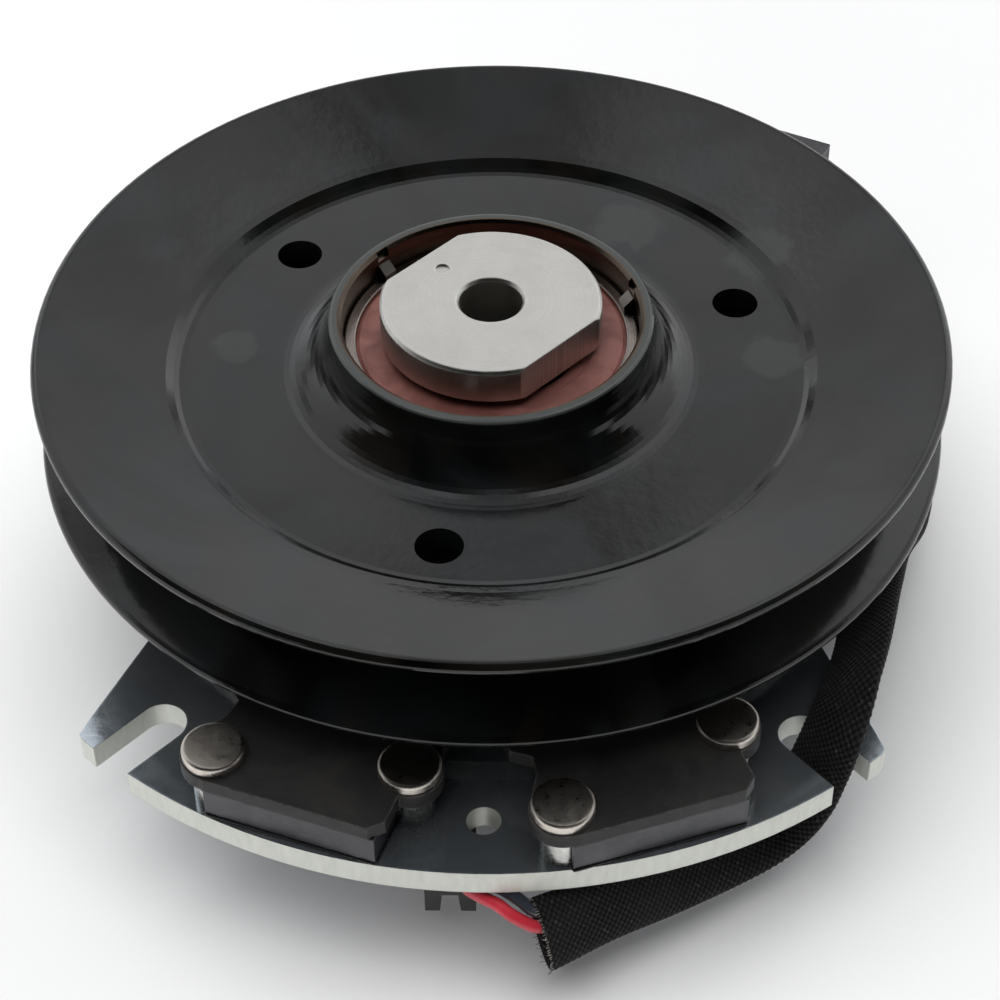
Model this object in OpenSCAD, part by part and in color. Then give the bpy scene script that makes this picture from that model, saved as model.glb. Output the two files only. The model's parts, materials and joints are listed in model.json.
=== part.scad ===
// Electromagnetic clutch and brake with a V-belt pulley, for a vertical engine shaft.
// The origin is on the shaft axis, in the plane of the engine-side face. +Z points to the pulley.
// At rest the coil is off: the springs and the brake magnets hold the armature up, against the brake poles.

/* [Shaft] */
// Diameter of the engine shaft's bore
shaft_d = 25.4; // [20:0.2:26]
// Width of the keyway
key_w = 6.35; // [4:0.05:8]
// Depth of the keyway, outwards from the bore
key_depth = 2.4; // [1:0.1:2.6]
// Thickness of the hub's end wall, which the bolt clamps
hub_end_wall = 6.9; // [5:0.1:10]
// Diameter of the through hole for the clamping bolt
bolt_hole_d = 11.1; // [8:0.1:13]

/* [Pulley] */
// Outer diameter of the pulley
pulley_d = 160; // [140:1:190]
// Height over both rims
groove_w = 19.5; // [18:0.5:26]
// Thickness of the pulley's sheet
pulley_sheet = 2.4; // [2:0.1:2.8]
// Slope of each flank of the groove
flank_angle = 16; // [12:0.5:20]
// Depth of the belt groove, from the rim in to the flanges' feet
groove_depth = 21.2; // [17:0.2:23]
// Width of the step between the upper flange's foot and the flat web
step_w = 3.6; // [2.8:0.1:4.8]
// Depth of the web below the upper rim
web_drop = 8; // [6.5:0.25:10]
// Height of the step where the web meets the upper flange
step_h = 1.9; // [1:0.1:3]
// Height of the hub collar above the web
collar_h = 11; // [8:0.25:14]
// Wall of the hub collar
collar_wall = 2.4; // [2:0.1:4]
// Radius of the flare from the web up to the collar
flare_r = 9.3; // [5:0.1:9.5]
// Diameter of the three holes in the web
web_hole_d = 8.2; // [5:0.1:10]
// Diameter of the circle that the web holes and the spring rivets lie on
web_pcd = 93.4; // [90:0.2:96]
// Turn of the first web hole at rest
pulley_turn = 20.5; // [0:0.5:120]
// Width of each stake in the collar
stake_w = 2.6; // [2:0.1:4]

/* [Bearings] */
// Bore of the pulley bearing
pulley_bearing_bore = 25; // [20:1:25]
// Outer diameter of the pulley bearing
pulley_bearing_od = 52; // [50:1:56]
// Width of the pulley bearing
pulley_bearing_w = 15; // [14:0.5:16]
// Depth of the pulley bearing below the collar's top
pulley_bearing_inset = 5.1; // [4:0.1:6]
// Bore of the field bearing, which is also the hub's seat
field_bearing_bore = 35; // [34:0.5:38]
// Outer diameter of the field bearing
field_bearing_od = 62; // [60:1:64]
// Width of the field bearing
field_bearing_w = 14; // [12:0.5:14]
// Diameter of the balls in both bearings
ball_d = 7.9; // [6.5:0.1:8]

/* [Spacer] */
// Diameter of the spacer's disc
spacer_d = 38.6; // [36:0.2:44]
// Thickness of the spacer's disc
spacer_h = 6.8; // [4:0.2:10]
// Distance across the spacer's two flats
spacer_flats = 33.4; // [30:0.2:36]
// Height of the shoulder under the disc
spacer_shoulder_h = 1.4; // [0.8:0.1:3]
// Turn of the spacer's flats
spacer_turn = -43.5; // [-90:0.5:90]

/* [Rotor and armature] */
// Outer diameter of the rotor's disc
rotor_d = 112; // [108:1:113]
// Thickness of the rotor's disc
rotor_t = 5.6; // [4.5:0.1:5.8]
// Diameter of the armature
armature_d = 132; // [126:1:134]
// Inner diameter of the armature
armature_bore = 62; // [60:1:70]
// Thickness of the armature
armature_t = 4.5; // [3.5:0.1:4.7]
// Gap between rotor and armature while the coil is off
air_gap = 0.5; // [0.3:0.05:0.8]
// Thickness of the leaf springs
spring_t = 0.8; // [0.5:0.1:1]
// Width of the leaf springs
spring_w = 13; // [8:0.5:14]

/* [Field] */
// Outer diameter of the field shell
field_d = 114; // [113:1:116]
// Width of the mounting flange, outwards from the shell
flange_w = 9; // [8:0.5:12]
// Thickness of the mounting flange
flange_t = 2.5; // [2:0.1:3]
// Thickness of the field shell's walls
field_wall = 5; // [4:0.1:5.5]
// Thickness of the field shell's floor
field_floor = 4; // [3:0.1:5]

/* [Backing plate] */
// Height of the plate's underside above the engine-side face
plate_z = 22.2; // [22:0.1:26]
// Thickness of the plate
plate_t = 4.8; // [4:0.1:6]
// Diameter of the plate's round body
plate_body_d = 134; // [133:1:146]
// Radius of the plate's front edge
plate_front_r = 97.3; // [94:0.1:120]
// Distance from the shaft axis to the middle of the front edge
plate_front = 90.8; // [90:0.1:96]
// Half of the angle between the plate's two slots
slot_angle = 41.7; // [40:0.1:44]
// Turn of both slots from the middle of the two brakes
slot_turn = -0.75; // [-2:0.05:2]
// Width of the two open slots
slot_w = 8.2; // [7.8:0.1:9]
// Distance from the shaft axis to a slot's inner end
slot_end = 76.7; // [75:0.1:78]
// Diameter of the small hole between the brakes
plate_hole_d = 5.7; // [4:0.1:8]

/* [Brakes] */
// Angle from the plate's middle to each brake
brake_angle = 19.45; // [19:0.05:20]
// Height of the brake magnets
magnet_h = 6.8; // [6.6:0.1:9]
// Width of each brake magnet
magnet_w = 29.8; // [26:0.1:30]
// Distance from the shaft axis to a magnet's front face
magnet_front = 89.8; // [88:0.1:90]
// Depth of each brake magnet
magnet_depth = 20; // [14:0.5:21]
// Thickness of the brake pole plates
pole_t = 2.7; // [2:0.1:3.5]
// Diameter of the rivet heads on the poles
rivet_head_d = 10.4; // [8:0.1:10.6]
// Height of the rivet heads on the poles
rivet_head_h = 2; // [1.2:0.1:2.5]
// Diameter of the rivet shanks
rivet_d = 5.2; // [4:0.1:5.6]
// Diameter of the standoffs under the poles
standoff_d = 7.8; // [7:0.1:8.4]

/* [Lead] */
// Width of the woven sleeve, which is worn flat
sleeve_w = 12.6; // [11:0.2:14]
// Thickness of the woven sleeve
sleeve_t = 3.8; // [3.4:0.2:4.6]
// Diameter of the two wires
wire_d = 2.2; // [1.6:0.1:2.2]
// Length of the connector's housing
plug_l = 26; // [22:1:28]
// Width of the connector's housing
plug_w = 18; // [15:0.5:20]
// Height of the connector's housing
plug_h = 16; // [13:0.5:18]

/* [Hidden] */
$fn = 96;

// Clearances
touch_gap = 0.05;   // between the armature and the face that it is drawn to
pole_gap = 0.6;     // between the field's poles and the rotor
turning_gap = 2;    // round the rotor's disc, inside the plate
race_gap = 0.2;     // between the balls and their races
pocket_gap = 0.15;  // between the balls and their cage
cage_rim = 0.8;     // the cage's height above and below the balls
notch_gap = 0.3;    // round a standoff that a magnet makes room for
rim_gap = 6;        // between the brakes' rivet heads and the pulley's lower rim

// Heights, from the engine-side face up
plate_top = plate_z + plate_t;
pole_z = plate_top + magnet_h;
pole_top = pole_z + pole_t;
armature_top = pole_z - touch_gap;
armature_z = armature_top - armature_t;
rotor_top = armature_z - air_gap;
rotor_z = rotor_top - rotor_t;
field_top = rotor_z - pole_gap;
lower_rim_z = pole_top + rivet_head_h + rim_gap;
upper_rim_z = lower_rim_z + groove_w;
web_top = upper_rim_z - web_drop;
web_split = web_top - pulley_sheet;
web_under = web_split - pulley_sheet;
collar_top = web_top + collar_h;
bearing_top = collar_top - pulley_bearing_inset;
bearing_z = bearing_top - pulley_bearing_w;
spacer_z = bearing_top + spacer_shoulder_h;
spacer_top = spacer_z + spacer_h;

// Pulley
pulley_r = pulley_d / 2;
foot_r = pulley_r - groove_depth;
flat_r = foot_r - step_w;
bearing_r = pulley_bearing_od / 2;
collar_r = bearing_r + collar_wall;
retainer_t = 1.9;
retainer_r = bearing_r - 2.1;
stake_turn = pulley_turn - 1.5;

// Hub and field bearing
hub_r = field_bearing_bore / 2;
hub_shoulder_r = hub_r + 3;
hub_nose_r = pulley_bearing_bore / 2 + 2.7;
hub_nose_h = 2;
snap_t = 1.4;
snap_z = 1.6;
snap_groove = 1.5;
field_bearing_z = snap_z + snap_t;
bearing_lip_t = 2;
bearing_lip = 2.5;

// Springs: the carrier's rivets lie between the armature's rivets
web_r = web_pcd / 2;
spring_spacer_h = 1.9;
spring_z = armature_top + spring_spacer_h;
spring_top = spring_z + spring_t;
carrier_t = 2.4;
carrier_r = web_r + 7.7;
carrier_bore_r = 40;
spring_rivet_d = 4.8;
spring_head_d = 8.6;
spring_head_h = 1.5;
spring_tail_h = 1.2;

// Brakes, each in a frame whose -Y axis points out through the middle of the brake
outer_rivet = [-16.4, -84.6];
inner_rivet = [14.7, -77];
ear_r = 5.5;
pole_inner_r = armature_d / 2 - 4.5;
magnet_x = -16.3;
rivet_flare_d = rivet_d + 2.6;
rivet_flare_h = 1.3;

// Lead: points from the sleeve's mouth, under the plate, up through the right slot and down to the floor
sleeve_route = [
    [9.5, -94, 15.5], [20, -88, 15.2], [30.5, -81, 14], [40, -74.6, 12.8],
    [47.6, -69.6, 13.4], [53.2, -66.9, 18], [56, -64.6, 24.5], [58.3, -61.8, 31],
    [60.8, -56, 34.8], [63.6, -46.5, 35.5], [66, -36, 33.5], [68.6, -24, 29.8],
    [73, -11, 24.5], [76, 3, 18.5], [77.5, 18, 12.8], [78.3, 33, 8], [78.5, 48, 4.4], [78.5, 63, 2.8],
    [78.5, 78, 3], [78.2, 90.5, 4.8], [76.2, 101, 7], [73, 107.1, 7.8], [69.4, 110.4, 8]
];
sleeve_lay = [
    [0.2, -0.5, -0.8], [0.3, -0.5, -0.8], [0.4, -0.5, -0.7], [0.5, -0.6, -0.6],
    [0.6, -0.7, -0.4], [0.6, -0.8, 0], [0.6, -0.8, 0.1], [0.6, -0.7, 0.3],
    [0.6, -0.4, 0.6], [0.7, -0.2, 0.7], [0.7, -0.2, 0.7], [0.7, -0.2, 0.6],
    [0.8, -0.2, 0.5], [0.9, -0.2, 0.4], [0.9, -0.1, 0.3], [1, 0, 0.2], [1, 0, 0], [1, 0, 0],
    [1, 0, 0], [1, 0.1, 0], [0.9, 0.4, 0], [0.7, 0.7, 0], [0.5, 0.9, 0]
];
red_route = [
    [-16, -56.8, 14], [-16.9, -61, 13.9], [-15.6, -66.5, 14.5], [-10.5, -71, 16.5], [-5.8, -73.6, 17.8],
    [-3.9, -77, 18.2], [-3.9, -81, 18.2], [-3.8, -84.4, 18.2], [-2.6, -87.4, 18.9], [-0.2, -89.7, 19.6],
    [2.4, -91.5, 19.9], [4.5, -92.8, 19.1], [6.6, -93.4, 18], [8.8, -93.5, 16.9]
];
black_route = [
    [-13.4, -57.4, 14], [-14.2, -61, 14.3], [-12.8, -65.5, 15.8], [-9, -69.3, 18.5], [-5.4, -72.6, 20.4],
    [-3.9, -76.5, 20.8], [-3.9, -80.6, 20.9], [-3.8, -84, 20.9], [-2.4, -86.2, 20.9],
    [-0.3, -87.2, 20.9], [2.3, -88.5, 20.8],
    [4.8, -89.9, 20.4], [6.7, -91, 19.6], [8.4, -91.8, 18.9]
];
grommet_turn = 14.5;
grommet_z = 14;
clip_x = [-9.9, -1.4];
clip_y = [-84, -76.5];
clip_z = 8.2;
clip_leg = 2.5;
clip_leg_h = 4.2;
clip_draft = 0.4;
clip_channel_x = -3.9;
plug_turn = 154;
plug_at = [68.1, 111];

function arc(cx, cy, r, a0, a1, n) = [for (i = [0 : n]) let (a = a0 + (a1 - a0) * i / n)
    [cx + r * cos(a), cy + r * sin(a)]];
function cross_unit(a, b) = let (c = cross(a, b)) c / norm(c);

// A point on a smooth curve through four points, and the whole curve through a list of them
function smooth(a, b, c, d, t) = 0.5 * (2 * b + (c - a) * t + (2 * a - 5 * b + 4 * c - d) * t * t
    + (3 * b - a - 3 * c + d) * t * t * t);
function curve(p, steps) = let (last = len(p) - 1) [
    for (i = [0 : last - 1], k = [0 : steps - 1])
        smooth(p[max(i - 1, 0)], p[i], p[i + 1], p[min(i + 2, last)], k / steps),
    p[last]
];
function heading(line, i) = let (d = line[min(i + 1, len(line) - 1)] - line[max(i - 1, 0)]) d / norm(d);

// A tube along a line. Its section is an ellipse, and lay says which way the wide side points at each ring
module sweep(line, lay, wide, thick, sides) {
    rings = [for (i = [0 : len(line) - 1]) let (
        h = heading(line, i),
        up = cross_unit(h, lay[i]),
        across = cross(up, h)
    ) [for (k = [0 : sides - 1]) let (a = 360 * k / sides)
        line[i] + across * wide / 2 * cos(a) + up * thick / 2 * sin(a)]];
    last = len(line) - 1;
    polyhedron(
        points = [for (r = rings) each r],
        faces = concat(
            [[for (k = [0 : sides - 1]) k]],
            [[for (k = [0 : sides - 1]) last * sides + sides - 1 - k]],
            [for (i = [0 : last - 1], k = [0 : sides - 1]) let (n = (k + 1) % sides)
                [i * sides + k, (i + 1) * sides + k, (i + 1) * sides + n, i * sides + n]]
        )
    );
}

module ring(outer_r, inner_r, z, h) {
    translate([0, 0, z])
        difference() {
            cylinder(r = outer_r, h = h);
            translate([0, 0, -1]) cylinder(r = inner_r, h = h + 2);
        }
}

module around(count, first) {
    for (i = [0 : count - 1])
        rotate([0, 0, first + 360 * i / count]) children();
}

// A rivet that stands on z = 0 at its neck, with its head above and a tail of tail_h below a grip
module rivet(head_d, head_h, shank_d, grip, tail_d, tail_h) {
    edge = head_h * 0.35;
    rotate_extrude()
        polygon(concat(
            [[0, -grip - tail_h], [tail_d / 2, -grip - tail_h], [tail_d / 2, -grip], [shank_d / 2, -grip],
             [shank_d / 2, 0], [head_d / 2, 0]],
            arc(head_d / 2 - edge, head_h - edge, edge, 0, 90, 4),
            [[0, head_h]]
        ));
}

// ---- Field ----

module field_shell() {
    outer = field_d / 2;
    seat = field_bearing_od / 2;
    lip_z = field_bearing_z + field_bearing_w;
    color("dimgray")
        difference() {
            rotate_extrude()
                polygon([
                    [seat, 0], [outer - 1, 0], [outer, 1], [outer, field_top],
                    [outer - field_wall, field_top],
                    [outer - field_wall, field_floor], [seat + field_wall, field_floor],
                    [seat + field_wall, field_top],
                    [seat - bearing_lip, field_top], [seat - bearing_lip, lip_z], [seat, lip_z],
                    [seat, field_bearing_z], [seat + snap_groove, field_bearing_z],
                    [seat + snap_groove, snap_z],
                    [seat, snap_z]
                ]);
            rotate([0, 0, -90 - grommet_turn])
                translate([outer - field_wall - 1, 0, grommet_z]) rotate([0, 90, 0])
                    cylinder(d = grommet_d, h = field_wall + 2);
        }
}

// A ring welded round the shell. The plate is screwed on top of it
module mounting_flange() {
    color("dimgray")
        difference() {
            ring(field_d / 2 + flange_w, field_d / 2, plate_z - flange_t, flange_t);
            plate_screw_places() translate([0, 0, plate_z - flange_t - 1])
                cylinder(d = screw_d, h = flange_t + 2);
        }
}

bobbin_wall = 1.2;
bobbin_in = field_bearing_od / 2 + field_wall;
bobbin_out = field_d / 2 - field_wall;
bobbin_top = field_top - 2.2;

module coil_bobbin() {
    color("black")
        rotate_extrude()
            polygon([
                [bobbin_in, field_floor], [bobbin_out, field_floor],
                [bobbin_out, field_floor + bobbin_wall],
                [bobbin_in + bobbin_wall, field_floor + bobbin_wall],
                [bobbin_in + bobbin_wall, bobbin_top - bobbin_wall],
                [bobbin_out, bobbin_top - bobbin_wall], [bobbin_out, bobbin_top], [bobbin_in, bobbin_top]
            ]);
}

module coil_winding() {
    color("peru")
        ring(bobbin_out - 0.4, bobbin_in + bobbin_wall, field_floor + bobbin_wall,
            bobbin_top - field_floor - 2 * bobbin_wall);
}

module coil_potting() {
    color("darkslategray")
        ring(bobbin_out, bobbin_in, bobbin_top, field_top - bobbin_top - 0.4);
}

grommet_d = 9;

module lead_grommet() {
    outer = field_d / 2;
    color("black")
        rotate([0, 0, -90 - grommet_turn])
            translate([outer - field_wall, 0, grommet_z])
                rotate([0, 90, 0])
                    rotate_extrude()
                        polygon([
                            [0, 0.1], [grommet_d / 2, 0.1], [grommet_d / 2, field_wall + 0.2],
                            [grommet_d / 2 + 1.1, field_wall + 0.2],
                            [grommet_d / 2 + 0.8, field_wall + 1.4],
                            [0, field_wall + 1.6]
                        ]);
}

module bearing_snap_ring() {
    seat = field_bearing_od / 2;
    color("gray")
        difference() {
            ring(seat + snap_groove - 0.1, seat - 2, snap_z, snap_t);
            rotate([0, 0, 60]) translate([0, -4, snap_z - 1]) cube([seat + 4, 8, snap_t + 2]);
        }
}

// ---- Ball bearings ----

function pitch_r(bore, od) = (bore + od) / 4;
function ball_count(bore, od) = floor(3.14159 * 2 * pitch_r(bore, od) / (ball_d * 1.62));

// The race groove, as a torus
module race(bore, od, z, w) {
    translate([0, 0, z + w / 2])
        rotate_extrude()
            translate([pitch_r(bore, od), 0]) circle(d = ball_d + 2 * race_gap, $fn = 48);
}

module bearing_outer_ring(bore, od, z, w) {
    shoulder = pitch_r(bore, od) + ball_d * 0.47;
    recess = shoulder + 0.8;
    deep = 1.5;
    edge = 0.5;
    difference() {
        rotate_extrude()
            polygon([
                [shoulder, z + deep], [recess, z + deep], [recess, z], [od / 2 - edge, z],
                [od / 2, z + edge],
                [od / 2, z + w - edge], [od / 2 - edge, z + w], [recess, z + w], [recess, z + w - deep],
                [shoulder, z + w - deep]
            ]);
        race(bore, od, z, w);
    }
}

module bearing_inner_ring(bore, od, z, w) {
    difference() {
        ring(pitch_r(bore, od) - ball_d * 0.47, bore / 2, z, w);
        race(bore, od, z, w);
    }
}

module bearing_balls(bore, od, z, w) {
    around(ball_count(bore, od), 0)
        translate([pitch_r(bore, od), 0, z + w / 2]) sphere(d = ball_d, $fn = 48);
}

module bearing_cage(bore, od, z, w) {
    middle = pitch_r(bore, od);
    difference() {
        ring(middle + 1.5, middle - 1.5, z + w / 2 - ball_d / 2 - cage_rim, ball_d + 2 * cage_rim);
        around(ball_count(bore, od), 0)
            translate([middle, 0, z + w / 2]) sphere(d = ball_d + 2 * pocket_gap, $fn = 48);
    }
}

// A seal that sits in the outer ring's recess and just clears the inner ring. It faces up
module bearing_seal(bore, od) {
    shoulder = pitch_r(bore, od) + ball_d * 0.47;
    lip = pitch_r(bore, od) - ball_d * 0.47 + 0.3;
    step = lip + (shoulder - lip) * 0.3;
    rotate_extrude()
        polygon([
            [lip, -1.3], [shoulder + 0.8, -1.3], [shoulder + 0.8, -0.9], [shoulder + 0.35, -0.6],
            [shoulder + 0.1, -0.35],
            [step + 0.3, -0.35], [step, -0.65], [lip, -0.65]
        ]);
}

module field_bearing_outer_ring() {
    color("silver") bearing_outer_ring(field_bearing_bore, field_bearing_od, field_bearing_z,
        field_bearing_w);
}

module field_bearing_inner_ring() {
    color("silver") bearing_inner_ring(field_bearing_bore, field_bearing_od, field_bearing_z,
        field_bearing_w);
}

module field_bearing_balls() {
    color("gainsboro") bearing_balls(field_bearing_bore, field_bearing_od, field_bearing_z,
        field_bearing_w);
}

module field_bearing_cage() {
    color("tan") bearing_cage(field_bearing_bore, field_bearing_od, field_bearing_z, field_bearing_w);
}

module field_bearing_seals() {
    color("black") {
        translate([0, 0, field_bearing_z + field_bearing_w])
            bearing_seal(field_bearing_bore, field_bearing_od);
        translate([0, 0, field_bearing_z]) mirror([0, 0, 1])
            bearing_seal(field_bearing_bore, field_bearing_od);
    }
}

module pulley_bearing_outer_ring() {
    color("silver") bearing_outer_ring(pulley_bearing_bore, pulley_bearing_od, bearing_z,
        pulley_bearing_w);
}

module pulley_bearing_inner_ring() {
    color("silver") bearing_inner_ring(pulley_bearing_bore, pulley_bearing_od, bearing_z,
        pulley_bearing_w);
}

module pulley_bearing_balls() {
    color("gainsboro") bearing_balls(pulley_bearing_bore, pulley_bearing_od, bearing_z, pulley_bearing_w);
}

module pulley_bearing_cage() {
    color("tan") bearing_cage(pulley_bearing_bore, pulley_bearing_od, bearing_z, pulley_bearing_w);
}

module pulley_bearing_upper_seal() {
    color("rosybrown") translate([0, 0, bearing_top])
        bearing_seal(pulley_bearing_bore, pulley_bearing_od);
}

module pulley_bearing_lower_seal() {
    color("rosybrown")
        translate([0, 0, bearing_z]) mirror([0, 0, 1])
            bearing_seal(pulley_bearing_bore, pulley_bearing_od);
}

// ---- Backing plate and its screws ----

screw_d = 5;
screw_head_d = 9.4;
screw_circle_r = field_d / 2 + flange_w / 2 + 0.6;

module plate_screw_places() {
    around(4, 45) translate([screw_circle_r, 0, 0]) children();
}

// One open slot, pointing out along -Y
module slot_cut() {
    end_y = -slot_end - slot_w / 2;
    translate([0, end_y]) circle(d = slot_w);
    translate([-slot_w / 2, end_y - 40]) square([slot_w, 40]);
}

// The plate's outline: a round body with a broad front whose two prongs reach past the slots
lug_out = [65.9, -59.3];
lug_root = [52.5, -27];

module plate_outline() {
    centre_y = plate_front_r - plate_front;
    tip_r = 5;
    circle(d = plate_body_d);
    intersection() {
        translate([0, centre_y]) circle(r = plate_front_r, $fn = 180);
        union() {
            polygon([
                [-lug_root[0], lug_root[1]], [-lug_out[0], lug_out[1]],
                [-lug_out[0] - 1.4, lug_out[1] - 4],
                [-lug_out[0] + 0.6, lug_out[1] - 7.6], [-lug_out[0] + 4, -130], [lug_out[0] - 4, -130],
                [lug_out[0] - 0.6, lug_out[1] - 7.6], [lug_out[0] + 1.4, lug_out[1] - 4], lug_out,
                [lug_root[0], lug_root[1]]
            ]);
        }
    }
}

module backing_plate() {
    color("lightsteelblue")
        difference() {
            translate([0, 0, plate_z])
                linear_extrude(plate_t)
                    difference() {
                        rotate(slot_turn) plate_outline();
                        circle(r = max(rotor_d / 2 + turning_gap, field_d / 2 + 0.5));
                        for (side = [-1, 1])
                            rotate(slot_turn + side * slot_angle) slot_cut();
                        translate([0, -80]) circle(d = plate_hole_d);
                    }
            brake_rivet_places() {
                translate([0, 0, plate_z - 1]) cylinder(d = rivet_d, h = plate_t + 2);
                translate([0, 0, plate_z])
                    cylinder(d1 = rivet_flare_d, d2 = rivet_d, h = rivet_flare_h, $fn = 48);
            }
            plate_screw_places() {
                translate([0, 0, plate_z - 1]) cylinder(d = screw_d, h = plate_t + 2);
                translate([0, 0, plate_top - 2.2])
                    cylinder(d1 = screw_d, d2 = screw_head_d, h = 2.2, $fn = 48);
            }
        }
}

module plate_screws() {
    color("silver")
        plate_screw_places()
            rotate_extrude()
                polygon([
                    [0, plate_z - flange_t - 0.6], [screw_d / 2 - 0.5, plate_z - flange_t - 0.6],
                    [screw_d / 2, plate_z - flange_t], [screw_d / 2, plate_top - 2.2],
                    [screw_head_d / 2, plate_top], [1.6, plate_top], [0, plate_top - 1]
                ]);
}

// ---- Brakes ----

module brake_places() {
    for (side = [-1, 1])
        rotate([0, 0, side * brake_angle]) children();
}

module brake_rivet_places() {
    brake_places() {
        translate(outer_rivet) children();
        translate(inner_rivet) children();
    }
}

// One brake's pole plate, with an ear round each rivet and a wide inner edge over the armature
module brake_pole() {
    front = magnet_front + 0.6;
    color("darkslategray")
        translate([0, 0, pole_z])
            difference() {
                linear_extrude(pole_t)
                    difference() {
                        union() {
                            polygon([
                                [-20.5, -50], [-20.5, -70.4], [-17.4, -72.8], [-18, -76.4],
                                [-21.4, -82.6],
                                [-18.6, -89.6], [-15.6, -front], [12.6, -front], [14.9, -front + 2.3],
                                [14.9, -82.2],
                                [17.5, -81.5], [20, -76], [18, -71], [18, -50]
                            ]);
                            translate(outer_rivet) circle(r = ear_r);
                            translate(inner_rivet) circle(r = ear_r);
                        }
                        circle(r = pole_inner_r, $fn = 180);
                    }
                translate(concat(outer_rivet, -1)) cylinder(d = rivet_d, h = pole_t + 2);
                translate(concat(inner_rivet, -1)) cylinder(d = rivet_d, h = pole_t + 2);
            }
}

module brake_magnet() {
    color("dimgray")
        difference() {
            translate([magnet_x, -magnet_front, plate_top]) cube([magnet_w, magnet_depth, magnet_h]);
            for (at = [outer_rivet, inner_rivet])
                translate(concat(at, plate_top - 1))
                    cylinder(d = standoff_d + 2 * notch_gap, h = magnet_h + 2);
        }
}

module brake_magnet_left() {
    rotate([0, 0, -brake_angle]) brake_magnet();
}

module brake_magnet_right() {
    rotate([0, 0, brake_angle]) brake_magnet();
}

module brake_pole_left() {
    rotate([0, 0, -brake_angle]) brake_pole();
}

module brake_pole_right() {
    rotate([0, 0, brake_angle]) brake_pole();
}

module brake_standoffs() {
    color("gainsboro")
        brake_rivet_places() ring(standoff_d / 2, rivet_d / 2, plate_top, magnet_h);
}

// Each rivet holds a pole and its standoff, and is closed flush in a countersink under the plate
module brake_rivets() {
    edge = 0.6;
    color("rosybrown")
        brake_rivet_places()
            rotate_extrude()
                polygon(concat(
                    [[0, plate_z], [rivet_flare_d / 2, plate_z], [rivet_d / 2, plate_z + rivet_flare_h],
                     [rivet_d / 2, pole_top], [rivet_head_d / 2, pole_top]],
                    arc(rivet_head_d / 2 - edge, pole_top + rivet_head_h - edge, edge, 0, 90, 4),
                    [[0, pole_top + rivet_head_h]]
                ));
}

// ---- Rotor ----

flux_slot_r = 41;
flux_slot_w = 3.5;
lining_r = 44.4;
lining_w = 4;
lining_t = 2.2;

hub_step_r = hub_r + 2;

// The hub: keyed on the engine shaft, carried by the field bearing, with the pulley bearing on its nose
module rotor_hub() {
    seat_top = field_bearing_z + field_bearing_w;
    bore_top = bearing_z - hub_end_wall;
    color("slategray")
        difference() {
            rotate_extrude()
                polygon([
                    [0, 0], [hub_r - 0.4, 0], [hub_r, 0.8], [hub_r, seat_top], [hub_shoulder_r, seat_top],
                    [hub_shoulder_r, rotor_z], [hub_step_r, rotor_z], [hub_step_r, rotor_top],
                    [hub_r, rotor_top + 2], [hub_r, bearing_z - hub_nose_h],
                    [hub_nose_r, bearing_z - hub_nose_h], [hub_nose_r, bearing_z], [0, bearing_z]
                ]);
            translate([0, 0, -1]) cylinder(d = shaft_d, h = bore_top + 1);
            cylinder(d = bolt_hole_d, h = bearing_z + 1);
            translate([-key_w / 2, 0, -1]) cube([key_w, shaft_d / 2 + key_depth, bore_top + 1]);
        }
}

// The disc pressed on the hub. Its slots make the coil's field cross to the armature and back
module rotor_disc() {
    color("slategray")
        difference() {
            ring(rotor_d / 2, hub_step_r, rotor_z, rotor_t);
            around(4, 10)
                translate([0, 0, rotor_z - 1])
                    rotate_extrude(angle = 68)
                        translate([flux_slot_r - flux_slot_w / 2, 0]) square([flux_slot_w, rotor_t + 2]);
            ring(lining_r + lining_w, lining_r, rotor_top - lining_t, lining_t + 1);
        }
}

module friction_ring() {
    color("saddlebrown") ring(lining_r + lining_w, lining_r, rotor_top - lining_t, lining_t);
}

// The spacer that the bolt clamps: a disc with two flats, a shoulder on the bearing and a sleeve inside it
module spacer() {
    edge = 0.5;
    r = spacer_d / 2;
    color("gainsboro")
        difference() {
            rotate_extrude()
                polygon([
                    [0, bearing_z + 0.5], [pulley_bearing_bore / 2, bearing_z + 0.5],
                    [pulley_bearing_bore / 2, bearing_top],
                    [pulley_bearing_bore / 2 + 3, bearing_top], [pulley_bearing_bore / 2 + 3, spacer_z],
                    [r - edge, spacer_z], [r, spacer_z + edge], [r, spacer_top - edge],
                    [r - edge, spacer_top],
                    [0, spacer_top]
                ]);
            translate([0, 0, bearing_z]) cylinder(d = bolt_hole_d, h = spacer_top);
            translate([0, 0, spacer_top - 0.5])
                cylinder(d1 = bolt_hole_d, d2 = bolt_hole_d + 1.1, h = 0.6, $fn = 64);
            rotate([0, 0, spacer_turn])
                for (side = [0, 180])
                    rotate([0, 0, side])
                        translate([spacer_flats / 2, -r, spacer_z - 1]) cube([r, 2 * r, spacer_h + 2]);
            rotate([0, 0, spacer_turn + 179.5]) translate([12, 0, spacer_top - 0.35])
                cylinder(d = 2.6, h = 1, $fn = 48);
        }
}

// ---- Armature and springs ----

module armature_rivet_places() {
    around(3, pulley_turn) translate([web_r, 0, 0]) children();
}

module carrier_rivet_places() {
    around(3, pulley_turn - 60) translate([web_r, 0, 0]) children();
}

module armature() {
    color("gray")
        difference() {
            ring(armature_d / 2, armature_bore / 2, armature_z, armature_t);
            armature_rivet_places() {
                translate([0, 0, armature_z - 1]) cylinder(d = spring_rivet_d, h = armature_t + 2);
                translate([0, 0, armature_z - 1])
                    cylinder(d = spring_head_d, h = 1 + 0.5 + spring_tail_h);
            }
        }
}

module spring_spacers() {
    color("silver") armature_rivet_places()
        ring(spring_head_d / 2, spring_rivet_d / 2, armature_top, spring_spacer_h);
}

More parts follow.
